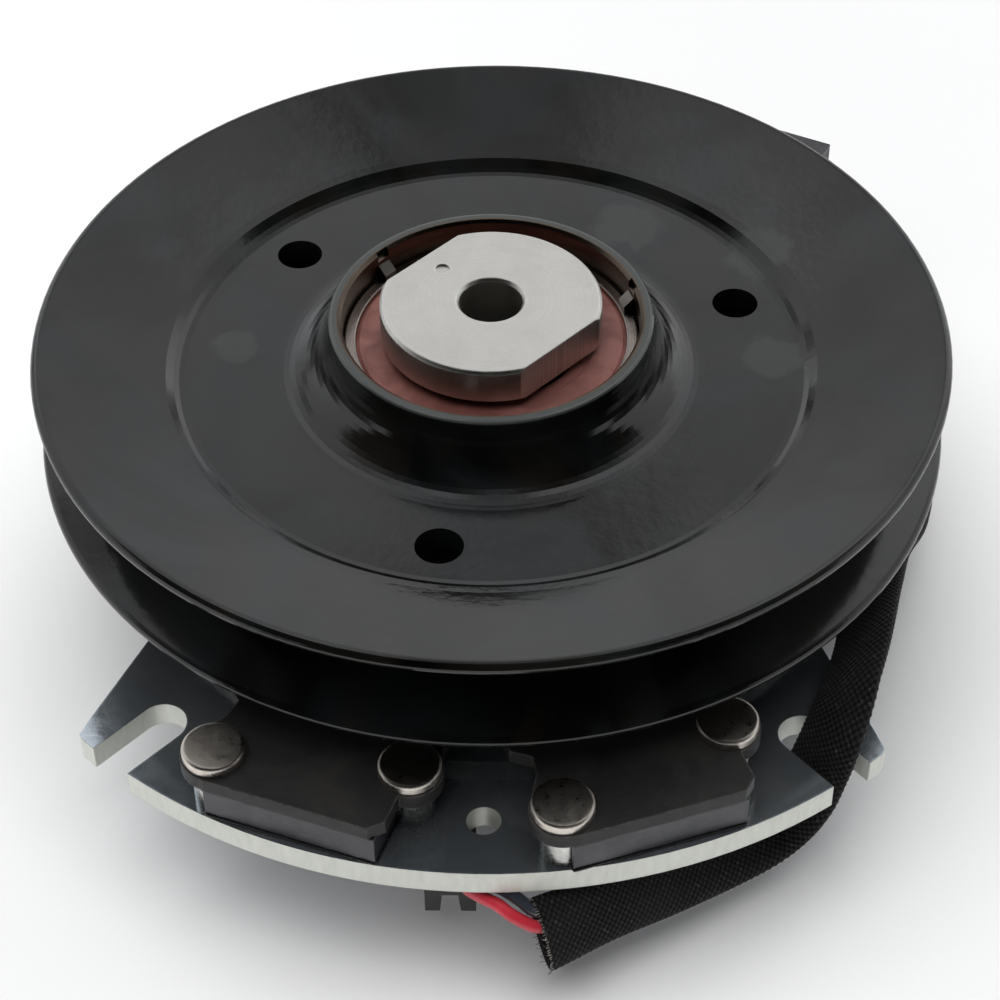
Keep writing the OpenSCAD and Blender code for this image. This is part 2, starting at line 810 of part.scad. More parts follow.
module armature_rivets() {
    color("silver")
        armature_rivet_places()
            translate([0, 0, spring_top])
                rivet(spring_head_d, spring_head_h, spring_rivet_d,
                    spring_top - armature_z - 0.5 - spring_tail_h, spring_head_d, spring_tail_h);
}

module leaf_springs() {
    color("steelblue")
        around(3, pulley_turn - 60)
            translate([0, 0, spring_z])
                linear_extrude(spring_t)
                    difference() {
                        union() {
                            for (end = [0, 60])
                                rotate(end) translate([web_r, 0]) circle(d = spring_w);
                            rotate(30) translate([web_r * cos(30) - spring_w / 2, -web_r / 2])
                                square([spring_w, web_r]);
                        }
                        for (end = [0, 60])
                            rotate(end) translate([web_r, 0]) circle(d = spring_rivet_d);
                    }
}

// A cup welded under the pulley's web. The armature's rivet heads stand in its three large holes
module spring_carrier() {
    color("dimgray")
        difference() {
            rotate_extrude()
                polygon([
                    [carrier_bore_r, spring_top], [carrier_r, spring_top], [carrier_r, web_under],
                    [carrier_r - carrier_t, web_under], [carrier_r - carrier_t, spring_top + carrier_t],
                    [carrier_bore_r, spring_top + carrier_t]
                ]);
            armature_rivet_places() translate([0, 0, spring_top - 1])
                cylinder(d = spring_head_d + 3, h = carrier_t + 2);
            carrier_rivet_places() translate([0, 0, spring_top - 1])
                cylinder(d = spring_rivet_d, h = carrier_t + 2);
        }
}

module carrier_rivets() {
    color("silver")
        carrier_rivet_places()
            translate([0, 0, spring_top + carrier_t])
                rivet(spring_head_d, spring_head_h, spring_rivet_d, carrier_t + spring_t, spring_head_d,
                    spring_tail_h);
}

// ---- Pulley ----

// Heights of a flange's outer and groove faces at radius r, up from the rim's own middle
rim_c = pulley_sheet / 2;
function flange_rise(r) = -(pulley_r - rim_c - r) * tan(flank_angle);
function face_offset() = rim_c / cos(flank_angle);

module web_holes() {
    around(3, pulley_turn) translate([web_r, 0, web_under - 5]) cylinder(d = web_hole_d, h = 20);
}

module pulley_upper_half() {
    rim_z = upper_rim_z - rim_c;
    foot = foot_r;
    flare_x = collar_r + flare_r;
    edge = 0.7;
    color("dimgray")
        difference() {
            rotate_extrude($fn = 180)
                polygon(concat(
                    [[bearing_r, web_split], [foot - 2.6, web_split],
                     [foot - 0.4, rim_z + flange_rise(foot - 0.4) - face_offset()]],
                    arc(pulley_r - rim_c, rim_z, rim_c, flank_angle - 90, flank_angle + 90, 10),
                    [[foot, rim_z + flange_rise(foot) + face_offset()], [foot - 1.6, web_top + step_h],
                     [flat_r + 0.7, web_top + 0.7], [flat_r - 0.2, web_top + 0.15],
                     [flat_r - 1.2, web_top]],
                    arc(flare_x, web_top + flare_r, flare_r, 270, 180, 14),
                    arc(collar_r - edge, collar_top - edge, edge, 0, 90, 3),
                    [[bearing_r + 0.5, collar_top], [bearing_r, collar_top - 0.5]]
                ));
            web_holes();
            around(3, stake_turn) stake_cut();
        }
    color("dimgray") around(3, stake_turn) stake();
}

// A chisel stake: a nick in the collar's inner edge, and the metal folded over the bearing's outer ring
module stake_cut() {
    translate([bearing_r - 1, -stake_w / 2, collar_top - 2.2]) rotate([0, -20, 0])
        cube([2.2, stake_w, 6]);
}

module stake() {
    rotate([90, 0, 0])
        translate([0, 0, -stake_w / 2])
            linear_extrude(stake_w)
                polygon([
                    [bearing_r - 1.7, bearing_top], [bearing_r + 0.6, bearing_top],
                    [bearing_r + 0.6, collar_top - 2.4],
                    [bearing_r - 0.2, collar_top - 2.6], [bearing_r - 1.8, bearing_top + 1]
                ]);
}

module pulley_lower_half() {
    rim_z = lower_rim_z + rim_c;
    foot = foot_r;
    edge = 1;
    color("dimgray")
        difference() {
            rotate_extrude($fn = 180)
                polygon(concat(
                    [[bearing_r, web_split], [bearing_r, bearing_z], [retainer_r, bearing_z],
                     [retainer_r, bearing_z - retainer_t], [collar_r - edge, bearing_z - retainer_t],
                     [collar_r, bearing_z - retainer_t + edge], [collar_r, web_under - 2],
                     [collar_r + 2, web_under],
                     [foot - 4, web_under], [foot, rim_z - flange_rise(foot) - face_offset()]],
                    arc(pulley_r - rim_c, rim_z, rim_c, -90 - flank_angle, 90 - flank_angle, 10),
                    [[foot - 1.2, rim_z - flange_rise(foot - 1.2) + face_offset()],
                        [foot - 2.6, web_split]]
                ));
            web_holes();
        }
}

// ---- Lead ----

// A block under the plate. Both wires cross it in a channel, one above the other, and its two legs point down
module lead_clip() {
    x0 = clip_x[0];
    x1 = clip_x[1];
    foot = clip_z + clip_leg_h;
    channel = wire_d + 0.4;
    deep = 2 * wire_d + 1;
    color("black")
        difference() {
            translate([0, clip_y[1], 0])
                rotate([90, 0, 0])
                    linear_extrude(clip_y[1] - clip_y[0])
                        polygon([
                            [x0, clip_z], [x0 + clip_leg, clip_z], [x0 + clip_leg + clip_draft, foot],
                            [x1 - clip_leg - clip_draft, foot], [x1 - clip_leg, clip_z], [x1, clip_z],
                            [x1, plate_z], [x0, plate_z]
                        ]);
            translate([clip_channel_x - channel / 2, clip_y[0] - 1, plate_z - deep])
                cube([channel, clip_y[1] - clip_y[0] + 2, deep + 1]);
        }
}

module wire(route) {
    line = curve(route, 2);
    sweep(line, [for (p = line) [0.3, 0.4, 1]], wire_d, wire_d, 8);
}

module red_wire() {
    color("crimson") wire(red_route);
}

module black_wire() {
    color("dimgray") wire(black_route);
}

module woven_sleeve() {
    color("black") sweep(curve(sleeve_route, 2), curve(sleeve_lay, 2), sleeve_w, sleeve_t, 12);
}

cell = 3.6;
cell_pitch = 7;
cell_depth = 12;

module on_plug() {
    translate([plug_at[0], plug_at[1], 0]) rotate([0, 0, plug_turn]) children();
}

module connector_housing() {
    edge = 1.5;
    color("black")
        on_plug()
            difference() {
                union() {
                    translate([0, -plug_w / 2, 0]) cube([plug_l * 0.62, plug_w, plug_h]);
                    translate([plug_l * 0.62, -plug_w / 2 + edge, edge])
                        cube([plug_l * 0.38, plug_w - 2 * edge, plug_h - 2 * edge]);
                    translate([plug_l * 0.32, -plug_w / 2 + 2, plug_h])
                        cube([plug_l * 0.3, plug_w - 4, 1.4]);
                    translate([-2, -sleeve_w / 2 - 1, plug_h / 2 - sleeve_t / 2 - 1.2])
                        cube([2, sleeve_w + 2, sleeve_t + 2.4]);
                }
                for (side = [-1, 1])
                    translate([plug_l - cell_depth, side * cell_pitch / 2 - cell / 2,
                        plug_h / 2 - cell / 2])
                        cube([cell_depth + 1, cell, cell]);
                translate([-3, -sleeve_w / 2 - 0.1, plug_h / 2 - sleeve_t / 2 - 0.1])
                    cube([3, sleeve_w + 0.2, sleeve_t + 0.2]);
            }
}

module connector_terminals() {
    color("gold")
        on_plug()
            for (side = [-1, 1])
                translate([plug_l - cell_depth, side * cell_pitch / 2 - 1.2, plug_h / 2 - 0.4])
                    cube([cell_depth - 2, 2.4, 0.8]);
}

field_shell();
mounting_flange();
coil_bobbin();
coil_winding();
coil_potting();
lead_grommet();
bearing_snap_ring();
field_bearing_outer_ring();
field_bearing_inner_ring();
field_bearing_balls();
field_bearing_cage();
field_bearing_seals();
backing_plate();
plate_screws();
brake_magnet_left();
brake_magnet_right();
brake_pole_left();
brake_pole_right();
brake_standoffs();
brake_rivets();
rotor_hub();
rotor_disc();
friction_ring();
spacer();
armature();
spring_spacers();
armature_rivets();
leaf_springs();
spring_carrier();
carrier_rivets();
pulley_upper_half();
pulley_lower_half();
pulley_bearing_outer_ring();
pulley_bearing_inner_ring();
pulley_bearing_balls();
pulley_bearing_cage();
pulley_bearing_upper_seal();
pulley_bearing_lower_seal();
lead_clip();
red_wire();
black_wire();
woven_sleeve();
connector_housing();
connector_terminals();
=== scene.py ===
# %% [markdown]
# An electromagnetic clutch with a belt pulley
# ---------------------------------------------
# The clutch sits on an engine's shaft. A pressed steel pulley turns on a bearing at the top.
# Under it are the armature, the rotor and the coil's field shell, and a zinc-plated backing
# plate carries two permanent-magnet brakes. A woven sleeve takes the coil's two wires to a plug.
# The rigid parts come from the CAD model with their exact shapes, so here they get finishes.
# The soft parts, which are the sleeve, its torn threads and the wires, are built in this file.

import json
import math

import bpy
import numpy as np
from mathutils import Matrix, Vector


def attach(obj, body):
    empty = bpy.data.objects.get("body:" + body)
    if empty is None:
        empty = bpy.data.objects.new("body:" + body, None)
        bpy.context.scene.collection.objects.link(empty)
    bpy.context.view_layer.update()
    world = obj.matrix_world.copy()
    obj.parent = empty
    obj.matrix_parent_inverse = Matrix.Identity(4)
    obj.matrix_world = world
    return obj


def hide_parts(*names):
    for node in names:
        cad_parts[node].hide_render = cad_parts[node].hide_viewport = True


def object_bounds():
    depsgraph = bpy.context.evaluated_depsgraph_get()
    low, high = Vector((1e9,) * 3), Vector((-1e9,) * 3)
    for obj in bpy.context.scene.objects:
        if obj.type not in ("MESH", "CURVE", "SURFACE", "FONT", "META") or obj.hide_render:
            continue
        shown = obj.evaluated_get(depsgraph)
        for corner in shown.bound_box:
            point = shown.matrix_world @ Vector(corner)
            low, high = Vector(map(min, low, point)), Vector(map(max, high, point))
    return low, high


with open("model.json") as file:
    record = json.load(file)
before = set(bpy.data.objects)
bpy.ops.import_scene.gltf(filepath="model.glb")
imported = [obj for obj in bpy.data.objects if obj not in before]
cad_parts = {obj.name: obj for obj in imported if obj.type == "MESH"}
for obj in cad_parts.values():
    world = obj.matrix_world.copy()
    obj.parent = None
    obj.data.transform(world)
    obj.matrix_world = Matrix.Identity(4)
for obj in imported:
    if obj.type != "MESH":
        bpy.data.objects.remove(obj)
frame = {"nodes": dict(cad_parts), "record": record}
cad_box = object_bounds()
MM = 0.001
print("CAD box in mm:", [[round(v / MM, 1) for v in corner] for corner in cad_box])

# %% [markdown]
# The camera looks down on the pulley at about 44 degrees, a little over the brakes.
# A camera can be aimed with a constraint, or turned by hand. Here its three axes are worked out
# from where it stands and what it looks at, and a small roll is added, so the view is exact.

# %% Camera
CAMERA_AT = Vector((9.2311, -341.1453, 353.5132)) * MM
CAMERA_AIM = Vector((1.7018, -18.7244, 40.0)) * MM
CAMERA_ROLL = math.radians(-0.5563)
CAMERA_LENS_MM = 92.12

camera_data = bpy.data.cameras.new("clutch_camera")
camera_data.lens = CAMERA_LENS_MM
camera_data.sensor_width = 36.0
camera_data.clip_start = 0.01
camera_data.clip_end = 20.0
camera = bpy.data.objects.new("clutch_camera", camera_data)
bpy.context.scene.collection.objects.link(camera)
backwards = (CAMERA_AT - CAMERA_AIM).normalized()
level_right = Vector((0, 0, 1)).cross(backwards).normalized()
level_up = backwards.cross(level_right)
rolled_right = level_right * math.cos(CAMERA_ROLL) + level_up * math.sin(CAMERA_ROLL)
rolled_up = level_up * math.cos(CAMERA_ROLL) - level_right * math.sin(CAMERA_ROLL)
camera.matrix_world = Matrix(
    (
        (rolled_right.x, rolled_up.x, backwards.x, CAMERA_AT.x),
        (rolled_right.y, rolled_up.y, backwards.y, CAMERA_AT.y),
        (rolled_right.z, rolled_up.z, backwards.z, CAMERA_AT.z),
        (0, 0, 0, 1),
    )
)
bpy.context.scene.camera = camera
print("camera is", round((CAMERA_AT - CAMERA_AIM).length, 3), "m from its aim")

# %% [markdown]
# The lead leaves the coil as two thin wires, which pass a clip under the plate and go into a flat
# woven sleeve. The sleeve climbs through the right-hand slot, drops behind and ends in a plug.
# A curve object could stand for each, but a sleeve needs its own flat section and its braid.
# So each route is a smooth line through listed points, and a tube is laid along it.

# %% Routes of the lead, in mm
SLEEVE_POINTS = [
    (9.5, -94, 15.5), (20, -88, 15.2), (30.5, -81, 14), (40, -74.6, 12.8),
    (47.6, -69.6, 13.4), (53.2, -66.9, 18), (56, -64.6, 24.5), (58.3, -61.8, 31),
    (60.8, -56, 34.8), (63.6, -46.5, 35.5), (66, -36, 33.5), (68.6, -24, 29.8),
    (73, -11, 24.5), (76, 3, 18.5), (77.5, 18, 12.8), (78.3, 33, 8), (78.5, 48, 4.4),
    (78.5, 63, 2.8), (78.5, 78, 3), (78.2, 90.5, 4.8), (76.2, 101, 7), (73, 107.1, 7.8),
    (69.4, 110.4, 8),
]
SLEEVE_LAY = [
    (0.2, -0.5, -0.8), (0.3, -0.5, -0.8), (0.4, -0.5, -0.7), (0.5, -0.6, -0.6),
    (0.6, -0.7, -0.4), (0.6, -0.8, 0), (0.6, -0.8, 0.1), (0.6, -0.7, 0.3),
    (0.6, -0.4, 0.6), (0.7, -0.2, 0.7), (0.7, -0.2, 0.7), (0.7, -0.2, 0.6),
    (0.8, -0.2, 0.5), (0.9, -0.2, 0.4), (0.9, -0.1, 0.3), (1, 0, 0.2), (1, 0, 0),
    (1, 0, 0), (1, 0, 0), (1, 0.1, 0), (0.9, 0.4, 0), (0.7, 0.7, 0), (0.5, 0.9, 0),
]
RED_POINTS = [
    (-16, -56.8, 14), (-16.9, -61, 13.9), (-15.6, -66.5, 14.5), (-10.5, -71, 16.5),
    (-5.8, -73.6, 17.8), (-3.9, -77, 18.2), (-3.9, -81, 18.2), (-3.8, -84.4, 18.2),
    (-2.6, -87.4, 18.9), (-0.2, -89.7, 19.6), (2.4, -91.5, 19.9), (4.5, -92.8, 19.1),
    (6.6, -93.4, 18), (8.8, -93.5, 16.9), (12.6, -92.1, 15.9),
]
GREY_POINTS = [
    (-13.4, -57.4, 14), (-14.2, -61, 14.3), (-12.8, -65.5, 15.8), (-9, -69.3, 18.5),
    (-5.4, -72.6, 20.4), (-3.9, -76.5, 20.8), (-3.9, -80.6, 20.9), (-3.8, -84, 20.9),
    (-2.4, -86.2, 20.9), (-0.3, -87.2, 20.9), (2.3, -88.5, 20.8), (4.8, -89.9, 20.4),
    (6.7, -91, 19.6), (8.4, -91.8, 18.9), (12.2, -91, 17.4),
]
SLEEVE_W = 12.6 * MM
SLEEVE_T = 3.8 * MM
WIRE_D = 2.2 * MM


def smooth_line(points, spacing):
    """Even points along a smooth curve through the given ones, and their places on it, 0 to 1."""
    p = np.array(points, float)
    fine, where = [], []
    for i in range(len(p) - 1):
        a, b, c, d = p[max(i - 1, 0)], p[i], p[i + 1], p[min(i + 2, len(p) - 1)]
        for t in np.linspace(0, 1, 24, endpoint=False):
            fine.append(
                0.5 * (2 * b + (c - a) * t + (2 * a - 5 * b + 4 * c - d) * t**2
                       + (3 * b - a - 3 * c + d) * t**3)
            )
            where.append(i + t)
    fine.append(p[-1])
    where.append(len(p) - 1)
    fine = np.array(fine)
    run = np.concatenate([[0], np.cumsum(np.linalg.norm(np.diff(fine, axis=0), axis=1))])
    steps = np.linspace(0, run[-1], max(int(round(run[-1] / spacing)), 2) + 1)
    even = np.stack([np.interp(steps, run, fine[:, k]) for k in range(3)], -1)
    return even, np.interp(steps, run, where), run[-1]


def directions(line):
    ahead = np.gradient(line, axis=0)
    return ahead / np.linalg.norm(ahead, axis=1)[:, None]


for name, points in (("sleeve", SLEEVE_POINTS), ("red wire", RED_POINTS), ("grey wire", GREY_POINTS)):
    print(name, "is", round(smooth_line(points, 1.0)[2], 1), "mm long")

# %% [markdown]
# A tube is a grid of points, wrapped round the line and closed at both ends. The grid is made
# with arrays in one go, because the sleeve alone has tens of thousands of points.

# %% A tube from a grid of points


def grid_tube(name, grid, along, caps=(True, True)):
    """A mesh from rings of points, with a UV map: u round the ring, v along it, both 0 to 1."""
    rings, sides, _ = grid.shape
    points = grid.reshape(-1, 3)
    row = np.arange(rings - 1)[:, None] * sides
    here = np.arange(sides)[None, :]
    there = (here + 1) % sides
    faces = np.stack(
        [row + here, row + there, row + sides + there, row + sides + here], -1
    ).reshape(-1, 4).tolist()
    u0 = np.broadcast_to(here / sides, (rings - 1, sides))
    u1 = u0 + 1 / sides
    v0 = np.broadcast_to(along[:-1, None], (rings - 1, sides))
    v1 = np.broadcast_to(along[1:, None], (rings - 1, sides))
    uv = np.stack(
        [np.stack([u0, v0], -1), np.stack([u1, v0], -1), np.stack([u1, v1], -1),
         np.stack([u0, v1], -1)], -2,
    ).reshape(-1, 2)
    ends = []
    if caps[0]:
        faces.append(list(range(sides - 1, -1, -1)))
        ends += [(k / sides, along[0]) for k in range(sides - 1, -1, -1)]
    if caps[1]:
        faces.append([(rings - 1) * sides + k for k in range(sides)])
        ends += [(k / sides, along[-1]) for k in range(sides)]
    if ends:
        uv = np.concatenate([uv, np.array(ends)])
    mesh = bpy.data.meshes.new(name)
    mesh.from_pydata(points.tolist(), [], faces)
    mesh.uv_layers.new(name="UVMap").data.foreach_set("uv", uv.astype(np.float32).ravel())
    mesh.polygons.foreach_set("use_smooth", np.ones(len(faces), bool))
    mesh.update()
    piece = bpy.data.objects.new(name, mesh)
    bpy.context.scene.collection.objects.link(piece)
    return piece


def round_wire(name, points, diameter):
    """A round insulated wire along a route in mm, and its centreline in metres."""
    line, _, length = smooth_line(points, 0.5)
    line *= MM
    ahead = directions(line)
    side = np.cross(ahead, (0.3, 0.2, 1.0))
    side /= np.linalg.norm(side, axis=1)[:, None]
    up = np.cross(side, ahead)
    turn = np.linspace(0, 2 * np.pi, 20, endpoint=False)
    grid = line[:, None] + diameter / 2 * (
        side[:, None] * np.cos(turn)[None, :, None] + up[:, None] * np.sin(turn)[None, :, None]
    )
    grid = grid[:, ::-1] if np.cross(side[0], up[0]) @ ahead[0] < 0 else grid
    return grid_tube(name, grid, np.linspace(0, 1, len(line))), line, length * MM


# %% [markdown]
# The sleeve is a flat braid of fine yarn over the wires. Its section is a flattened ring.
# The braid could be only a bump in the material, but then its edge would look smooth as rubber.
# So every yarn crossing is a real bump in the mesh: a crossing pattern of cosines round the
# section and along the sleeve pushes the surface out, and the finer yarn comes from the material.
# At the mouth the sleeve flares, and its wall turns in and runs back inside, dark and hollow.

# %% The woven sleeve
BUMPS_ROUND = 22
BUMP_ALONG = 1.1
BUMP_HEIGHT = 0.24
SAMPLES_ROUND = BUMPS_ROUND * 4
MOUTH_DEPTH = 9.0
LIP = 0.55
SKIN_ACROSS = 0.25
SKIN_UP = 0.3
SECTION_BLUNTNESS = 0.86


def flat_section(sides, width, thick):
    """Even angles round a flattened ring, with each point's outward direction across and up."""
    fine = np.linspace(0, 2 * np.pi, 4001)

    def shape(angle):
        c, s = np.cos(angle), np.sin(angle)
        return np.stack([np.sign(c) * np.abs(c) ** SECTION_BLUNTNESS * width / 2,
                         np.sign(s) * np.abs(s) ** SECTION_BLUNTNESS * thick / 2], -1)

    run = np.concatenate([[0], np.cumsum(np.linalg.norm(np.diff(shape(fine), axis=0), axis=1))])
    angle = np.interp(np.linspace(0, run[-1], sides, endpoint=False), run, fine)
    place = shape(angle)
    ahead = np.roll(place, -1, 0) - np.roll(place, 1, 0)
    out = np.stack([ahead[:, 1], -ahead[:, 0]], -1)
    return place, out / np.linalg.norm(out, axis=1)[:, None], run[-1]


sleeve_line, sleeve_where, sleeve_mm = smooth_line(SLEEVE_POINTS, BUMP_ALONG / 4)
lay = np.stack(
    [np.interp(sleeve_where, np.arange(len(SLEEVE_LAY)), np.array(SLEEVE_LAY, float)[:, k])
     for k in range(3)], -1,
)
sleeve_ahead = directions(sleeve_line)
sleeve_up = np.cross(sleeve_ahead, lay)
sleeve_up /= np.linalg.norm(sleeve_up, axis=1)[:, None]
sleeve_across = np.cross(sleeve_up, sleeve_ahead)
run_mm = np.linspace(0, sleeve_mm, len(sleeve_line))
place, outward, round_mm = flat_section(
    SAMPLES_ROUND, SLEEVE_W / MM - SKIN_ACROSS, SLEEVE_T / MM - SKIN_UP
)
# The mouth flares and is plump, a waist follows it, and the rest swells a little now and then.
flare = 1 + 0.05 * np.exp(-((run_mm / 5) ** 2)) - 0.055 * np.exp(-(((run_mm - 12) / 8) ** 2))
plump = 1 + 0.16 * np.exp(-((run_mm / 7) ** 2)) + 0.035 * np.sin(run_mm / 9.0)
round_phase = 2 * np.pi * BUMPS_ROUND * np.arange(SAMPLES_ROUND) / SAMPLES_ROUND
along_phase = 2 * np.pi * run_mm / BUMP_ALONG
braid = 0.5 + 0.5 * np.cos(round_phase)[None, :] * np.cos(along_phase)[:, None]
wander = 0.05 * np.sin(run_mm / 3.1)[:, None] * np.sin(round_phase / BUMPS_ROUND * 3 + 1.3)[None, :]
push = BUMP_HEIGHT * (braid - 0.5) + wander
across_mm = place[None, :, 0] * flare[:, None] + outward[None, :, 0] * push
up_mm = place[None, :, 1] * plump[:, None] + outward[None, :, 1] * push
outer = (
    sleeve_line[:, None]
    + sleeve_across[:, None] * across_mm[..., None]
    + sleeve_up[:, None] * up_mm[..., None]
)
print("sleeve grid", outer.shape, "round", round(round_mm, 1), "mm")

# %% The sleeve's hollow mouth
# The wall turns in over a rounded lip and goes back inside, and the far end is closed.
inside_steps = int(MOUTH_DEPTH / BUMP_ALONG * 2)
inside = []
for step in range(inside_steps, -1, -1):
    depth = step / inside_steps
    ring = min(int(depth * MOUTH_DEPTH / (BUMP_ALONG / 4)), len(sleeve_line) - 1)
    shrink = LIP * (1.0 if step else 0.55)
    flat = place - outward * shrink
    closing = 1 - 0.25 * depth
    inside.append(
        sleeve_line[ring]
        - (sleeve_ahead[ring] * 0.25 if step == 0 else 0)
        + sleeve_across[ring] * (flat[:, :1] * flare[ring])
        + sleeve_up[ring] * (flat[:, 1:] * plump[ring] * closing)
    )
sleeve_grid = np.concatenate([np.array(inside), outer]) * MM
sleeve_along = np.concatenate(
    [np.linspace(-MOUTH_DEPTH / sleeve_mm, 0, len(inside)), np.linspace(0, 1, len(outer))]
)
wraps_right = np.cross(sleeve_across[0], sleeve_up[0]) @ sleeve_ahead[0] > 0
if not wraps_right:
    sleeve_grid = sleeve_grid[:, ::-1]
sleeve = grid_tube("sleeve_braid", sleeve_grid, sleeve_along)
print("sleeve has", len(sleeve.data.polygons) * 2, "triangles, wraps right:", bool(wraps_right))

# %% The two wires
red_wire, red_line, red_length = round_wire("red_lead", RED_POINTS, WIRE_D)
grey_wire, grey_line, grey_length = round_wire("grey_lead", GREY_POINTS, WIRE_D)
print("wires:", round(red_length / MM, 1), "and", round(grey_length / MM, 1), "mm")

# %% [markdown]
# The sleeve was cut with scissors, so its lip is torn, and pale threads stand out of it.
# Threads are many and alike, so Geometry Nodes grow them: points along the lip, a short curved
# thread on each, and a seeded random lean and length. The result is turned into a plain mesh.

# %% Helpers for node trees


def add(tree, kind, inputs=None, **settings):
    """A new node. Inputs are set or linked by name or by number."""
    node = tree.nodes.new(kind)
    for key, value in settings.items():
        setattr(node, key, value)
    for key, value in (inputs or {}).items():
        socket = node.inputs[key]
        if isinstance(value, bpy.types.NodeSocket):
            tree.links.new(value, socket)
        elif isinstance(value, (tuple, list)) and len(value) == 3 and len(
            getattr(socket, "default_value", ())
        ) == 4:
            socket.default_value = (*value, 1)
        else:
            socket.default_value = value
    return node


def make_geometry_tree(name, wanted):
    """An empty geometry tree with the named inputs, and their identifiers."""
    tree = bpy.data.node_groups.new(name, "GeometryNodeTree")
    tree.interface.new_socket("Geometry", in_out="INPUT", socket_type="NodeSocketGeometry")
    names = {}
    for label, kind, value in wanted:
        item = tree.interface.new_socket(label, in_out="INPUT", socket_type=kind)
        if value is not None:
            item.default_value = value
        names[label] = item.identifier
    tree.interface.new_socket("Geometry", in_out="OUTPUT", socket_type="NodeSocketGeometry")
    return tree, names


def grow(piece, tree, names, values):
    """Runs a geometry tree on a piece and keeps the result as its plain mesh."""
    modifier = piece.modifiers.new("grow", "NODES")
    modifier.node_group = tree
    for label, value in values.items():
        modifier[names[label]] = value
    bpy.context.view_layer.update()
    shape = bpy.data.meshes.new_from_object(
        piece.evaluated_get(bpy.context.evaluated_depsgraph_get())
    )
    piece.modifiers.remove(modifier)
    old = piece.data
    name = piece.name
    bpy.data.objects.remove(piece)
    if old.users == 0:
        (bpy.data.curves if isinstance(old, bpy.types.Curve) else bpy.data.meshes).remove(old)
    shape.name = name
    grown = bpy.data.objects.new(name, shape)
    bpy.context.scene.collection.objects.link(grown)
    print(name, "has", len(shape.polygons), "faces")
    return grown


def line_object(name, lines):
    """A mesh of open edge lines, which a geometry tree can turn into curves."""
    points, edges = [], []
    for line in lines:
        start = len(points)
        points += [tuple(p) for p in line]
        edges += [(start + i, start + i + 1) for i in range(len(line) - 1)]
    mesh = bpy.data.meshes.new(name)
    mesh.from_pydata(points, edges, [])
    piece = bpy.data.objects.new(name, mesh)
    bpy.context.scene.collection.objects.link(piece)
    return piece


def colour(r, g, b):
    """A paint-chart colour, 0 to 255, as the linear values that a shader wants."""
    chart = [v / 255 for v in (r, g, b)]
    return tuple(v / 12.92 if v <= 0.04045 else ((v + 0.055) / 1.055) ** 2.4 for v in chart)


# %% [markdown]
# Finishes
# --------
# Every finish is built from nodes at real scale: Object coordinates are in metres, so a noise
# scale of 1000 has grains about a millimetre across. Effects that several finishes share are
# node groups, made once here: a soft haze, worn edges, turning marks, scratches and fine grit.

# %% Short helpers for shader maths


def maths(tree, operation, a, b=0.0, clamp=False):
    node = add(tree, "ShaderNodeMath", {0: a, 1: b}, operation=operation, use_clamp=clamp)
    return node.outputs[0]


def spread(tree, value, low, high, to_low=0.0, to_high=1.0):
    """A smooth step from to_low to to_high while the value goes from low to high."""
    node = add(
        tree, "ShaderNodeMapRange",
        {"Value": value, "From Min": low, "From Max": high, "To Min": to_low, "To Max": to_high},
        interpolation_type="SMOOTHSTEP",
    )
    return node.outputs["Result"]


def blend_colours(tree, mask, a, b):
    node = add(tree, "ShaderNodeMix", data_type="RGBA")
    for index, value in ((0, mask), (6, a), (7, b)):
        if isinstance(value, bpy.types.NodeSocket):
            tree.links.new(value, node.inputs[index])
        else:
            node.inputs[index].default_value = (*value, 1) if index else value
    return node.outputs[2]


def noise(tree, vector, scale, detail=3.0, rough=0.55, warp=0.0):
    node = add(
        tree, "ShaderNodeTexNoise",
        {"Vector": vector, "Scale": scale, "Detail": detail, "Roughness": rough, "Distortion": warp},
    )
    return node.outputs["Fac"]


def stretched(tree, vector, scale):
    """The same coordinates, stretched by a different amount along each axis."""
    return add(tree, "ShaderNodeMapping", {"Vector": vector, "Scale": scale}).outputs[0]


def split(tree, vector):
    return add(tree, "ShaderNodeSeparateXYZ", {0: vector}).outputs


def shader_group(name, inputs, outputs):
    """A shader node group with named sockets. It returns the tree, its inputs and its output node."""
    tree = bpy.data.node_groups.new(name, "ShaderNodeTree")
    for label, kind, value in inputs:
        item = tree.interface.new_socket(label, in_out="INPUT", socket_type="NodeSocket" + kind)
        if value is not None:
            item.default_value = value
    for label, kind in outputs:
        tree.interface.new_socket(label, in_out="OUTPUT", socket_type="NodeSocket" + kind)
    entry = tree.nodes.new("NodeGroupInput")
    leave = tree.nodes.new("NodeGroupOutput")
    return tree, entry.outputs, leave


def use(tree, group, **inputs):
    node = add(tree, "ShaderNodeGroup", node_tree=group)
    for label, value in inputs.items():
        socket = node.inputs[label]
        if isinstance(value, bpy.types.NodeSocket):
            tree.links.new(value, socket)
        else:
            socket.default_value = value
    return node.outputs


# %% The shared effects
haze, given, out = shader_group(
    "Haze",
    [("Vector", "Vector", None), ("Size", "Float", 0.02), ("Warp", "Float", 0.6)],
    [("Mask", "Float"), ("Fine", "Float")],
)
per_metre = maths(haze, "DIVIDE", 1.0, given["Size"])
broad = noise(haze, given["Vector"], per_metre, 4.0, 0.5, given["Warp"])
fine = noise(haze, given["Vector"], maths(haze, "MULTIPLY", per_metre, 6.0), 3.0, 0.6)
haze.links.new(spread(haze, broad, 0.38, 0.66), out.inputs["Mask"])
haze.links.new(spread(haze, fine, 0.3, 0.7), out.inputs["Fine"])

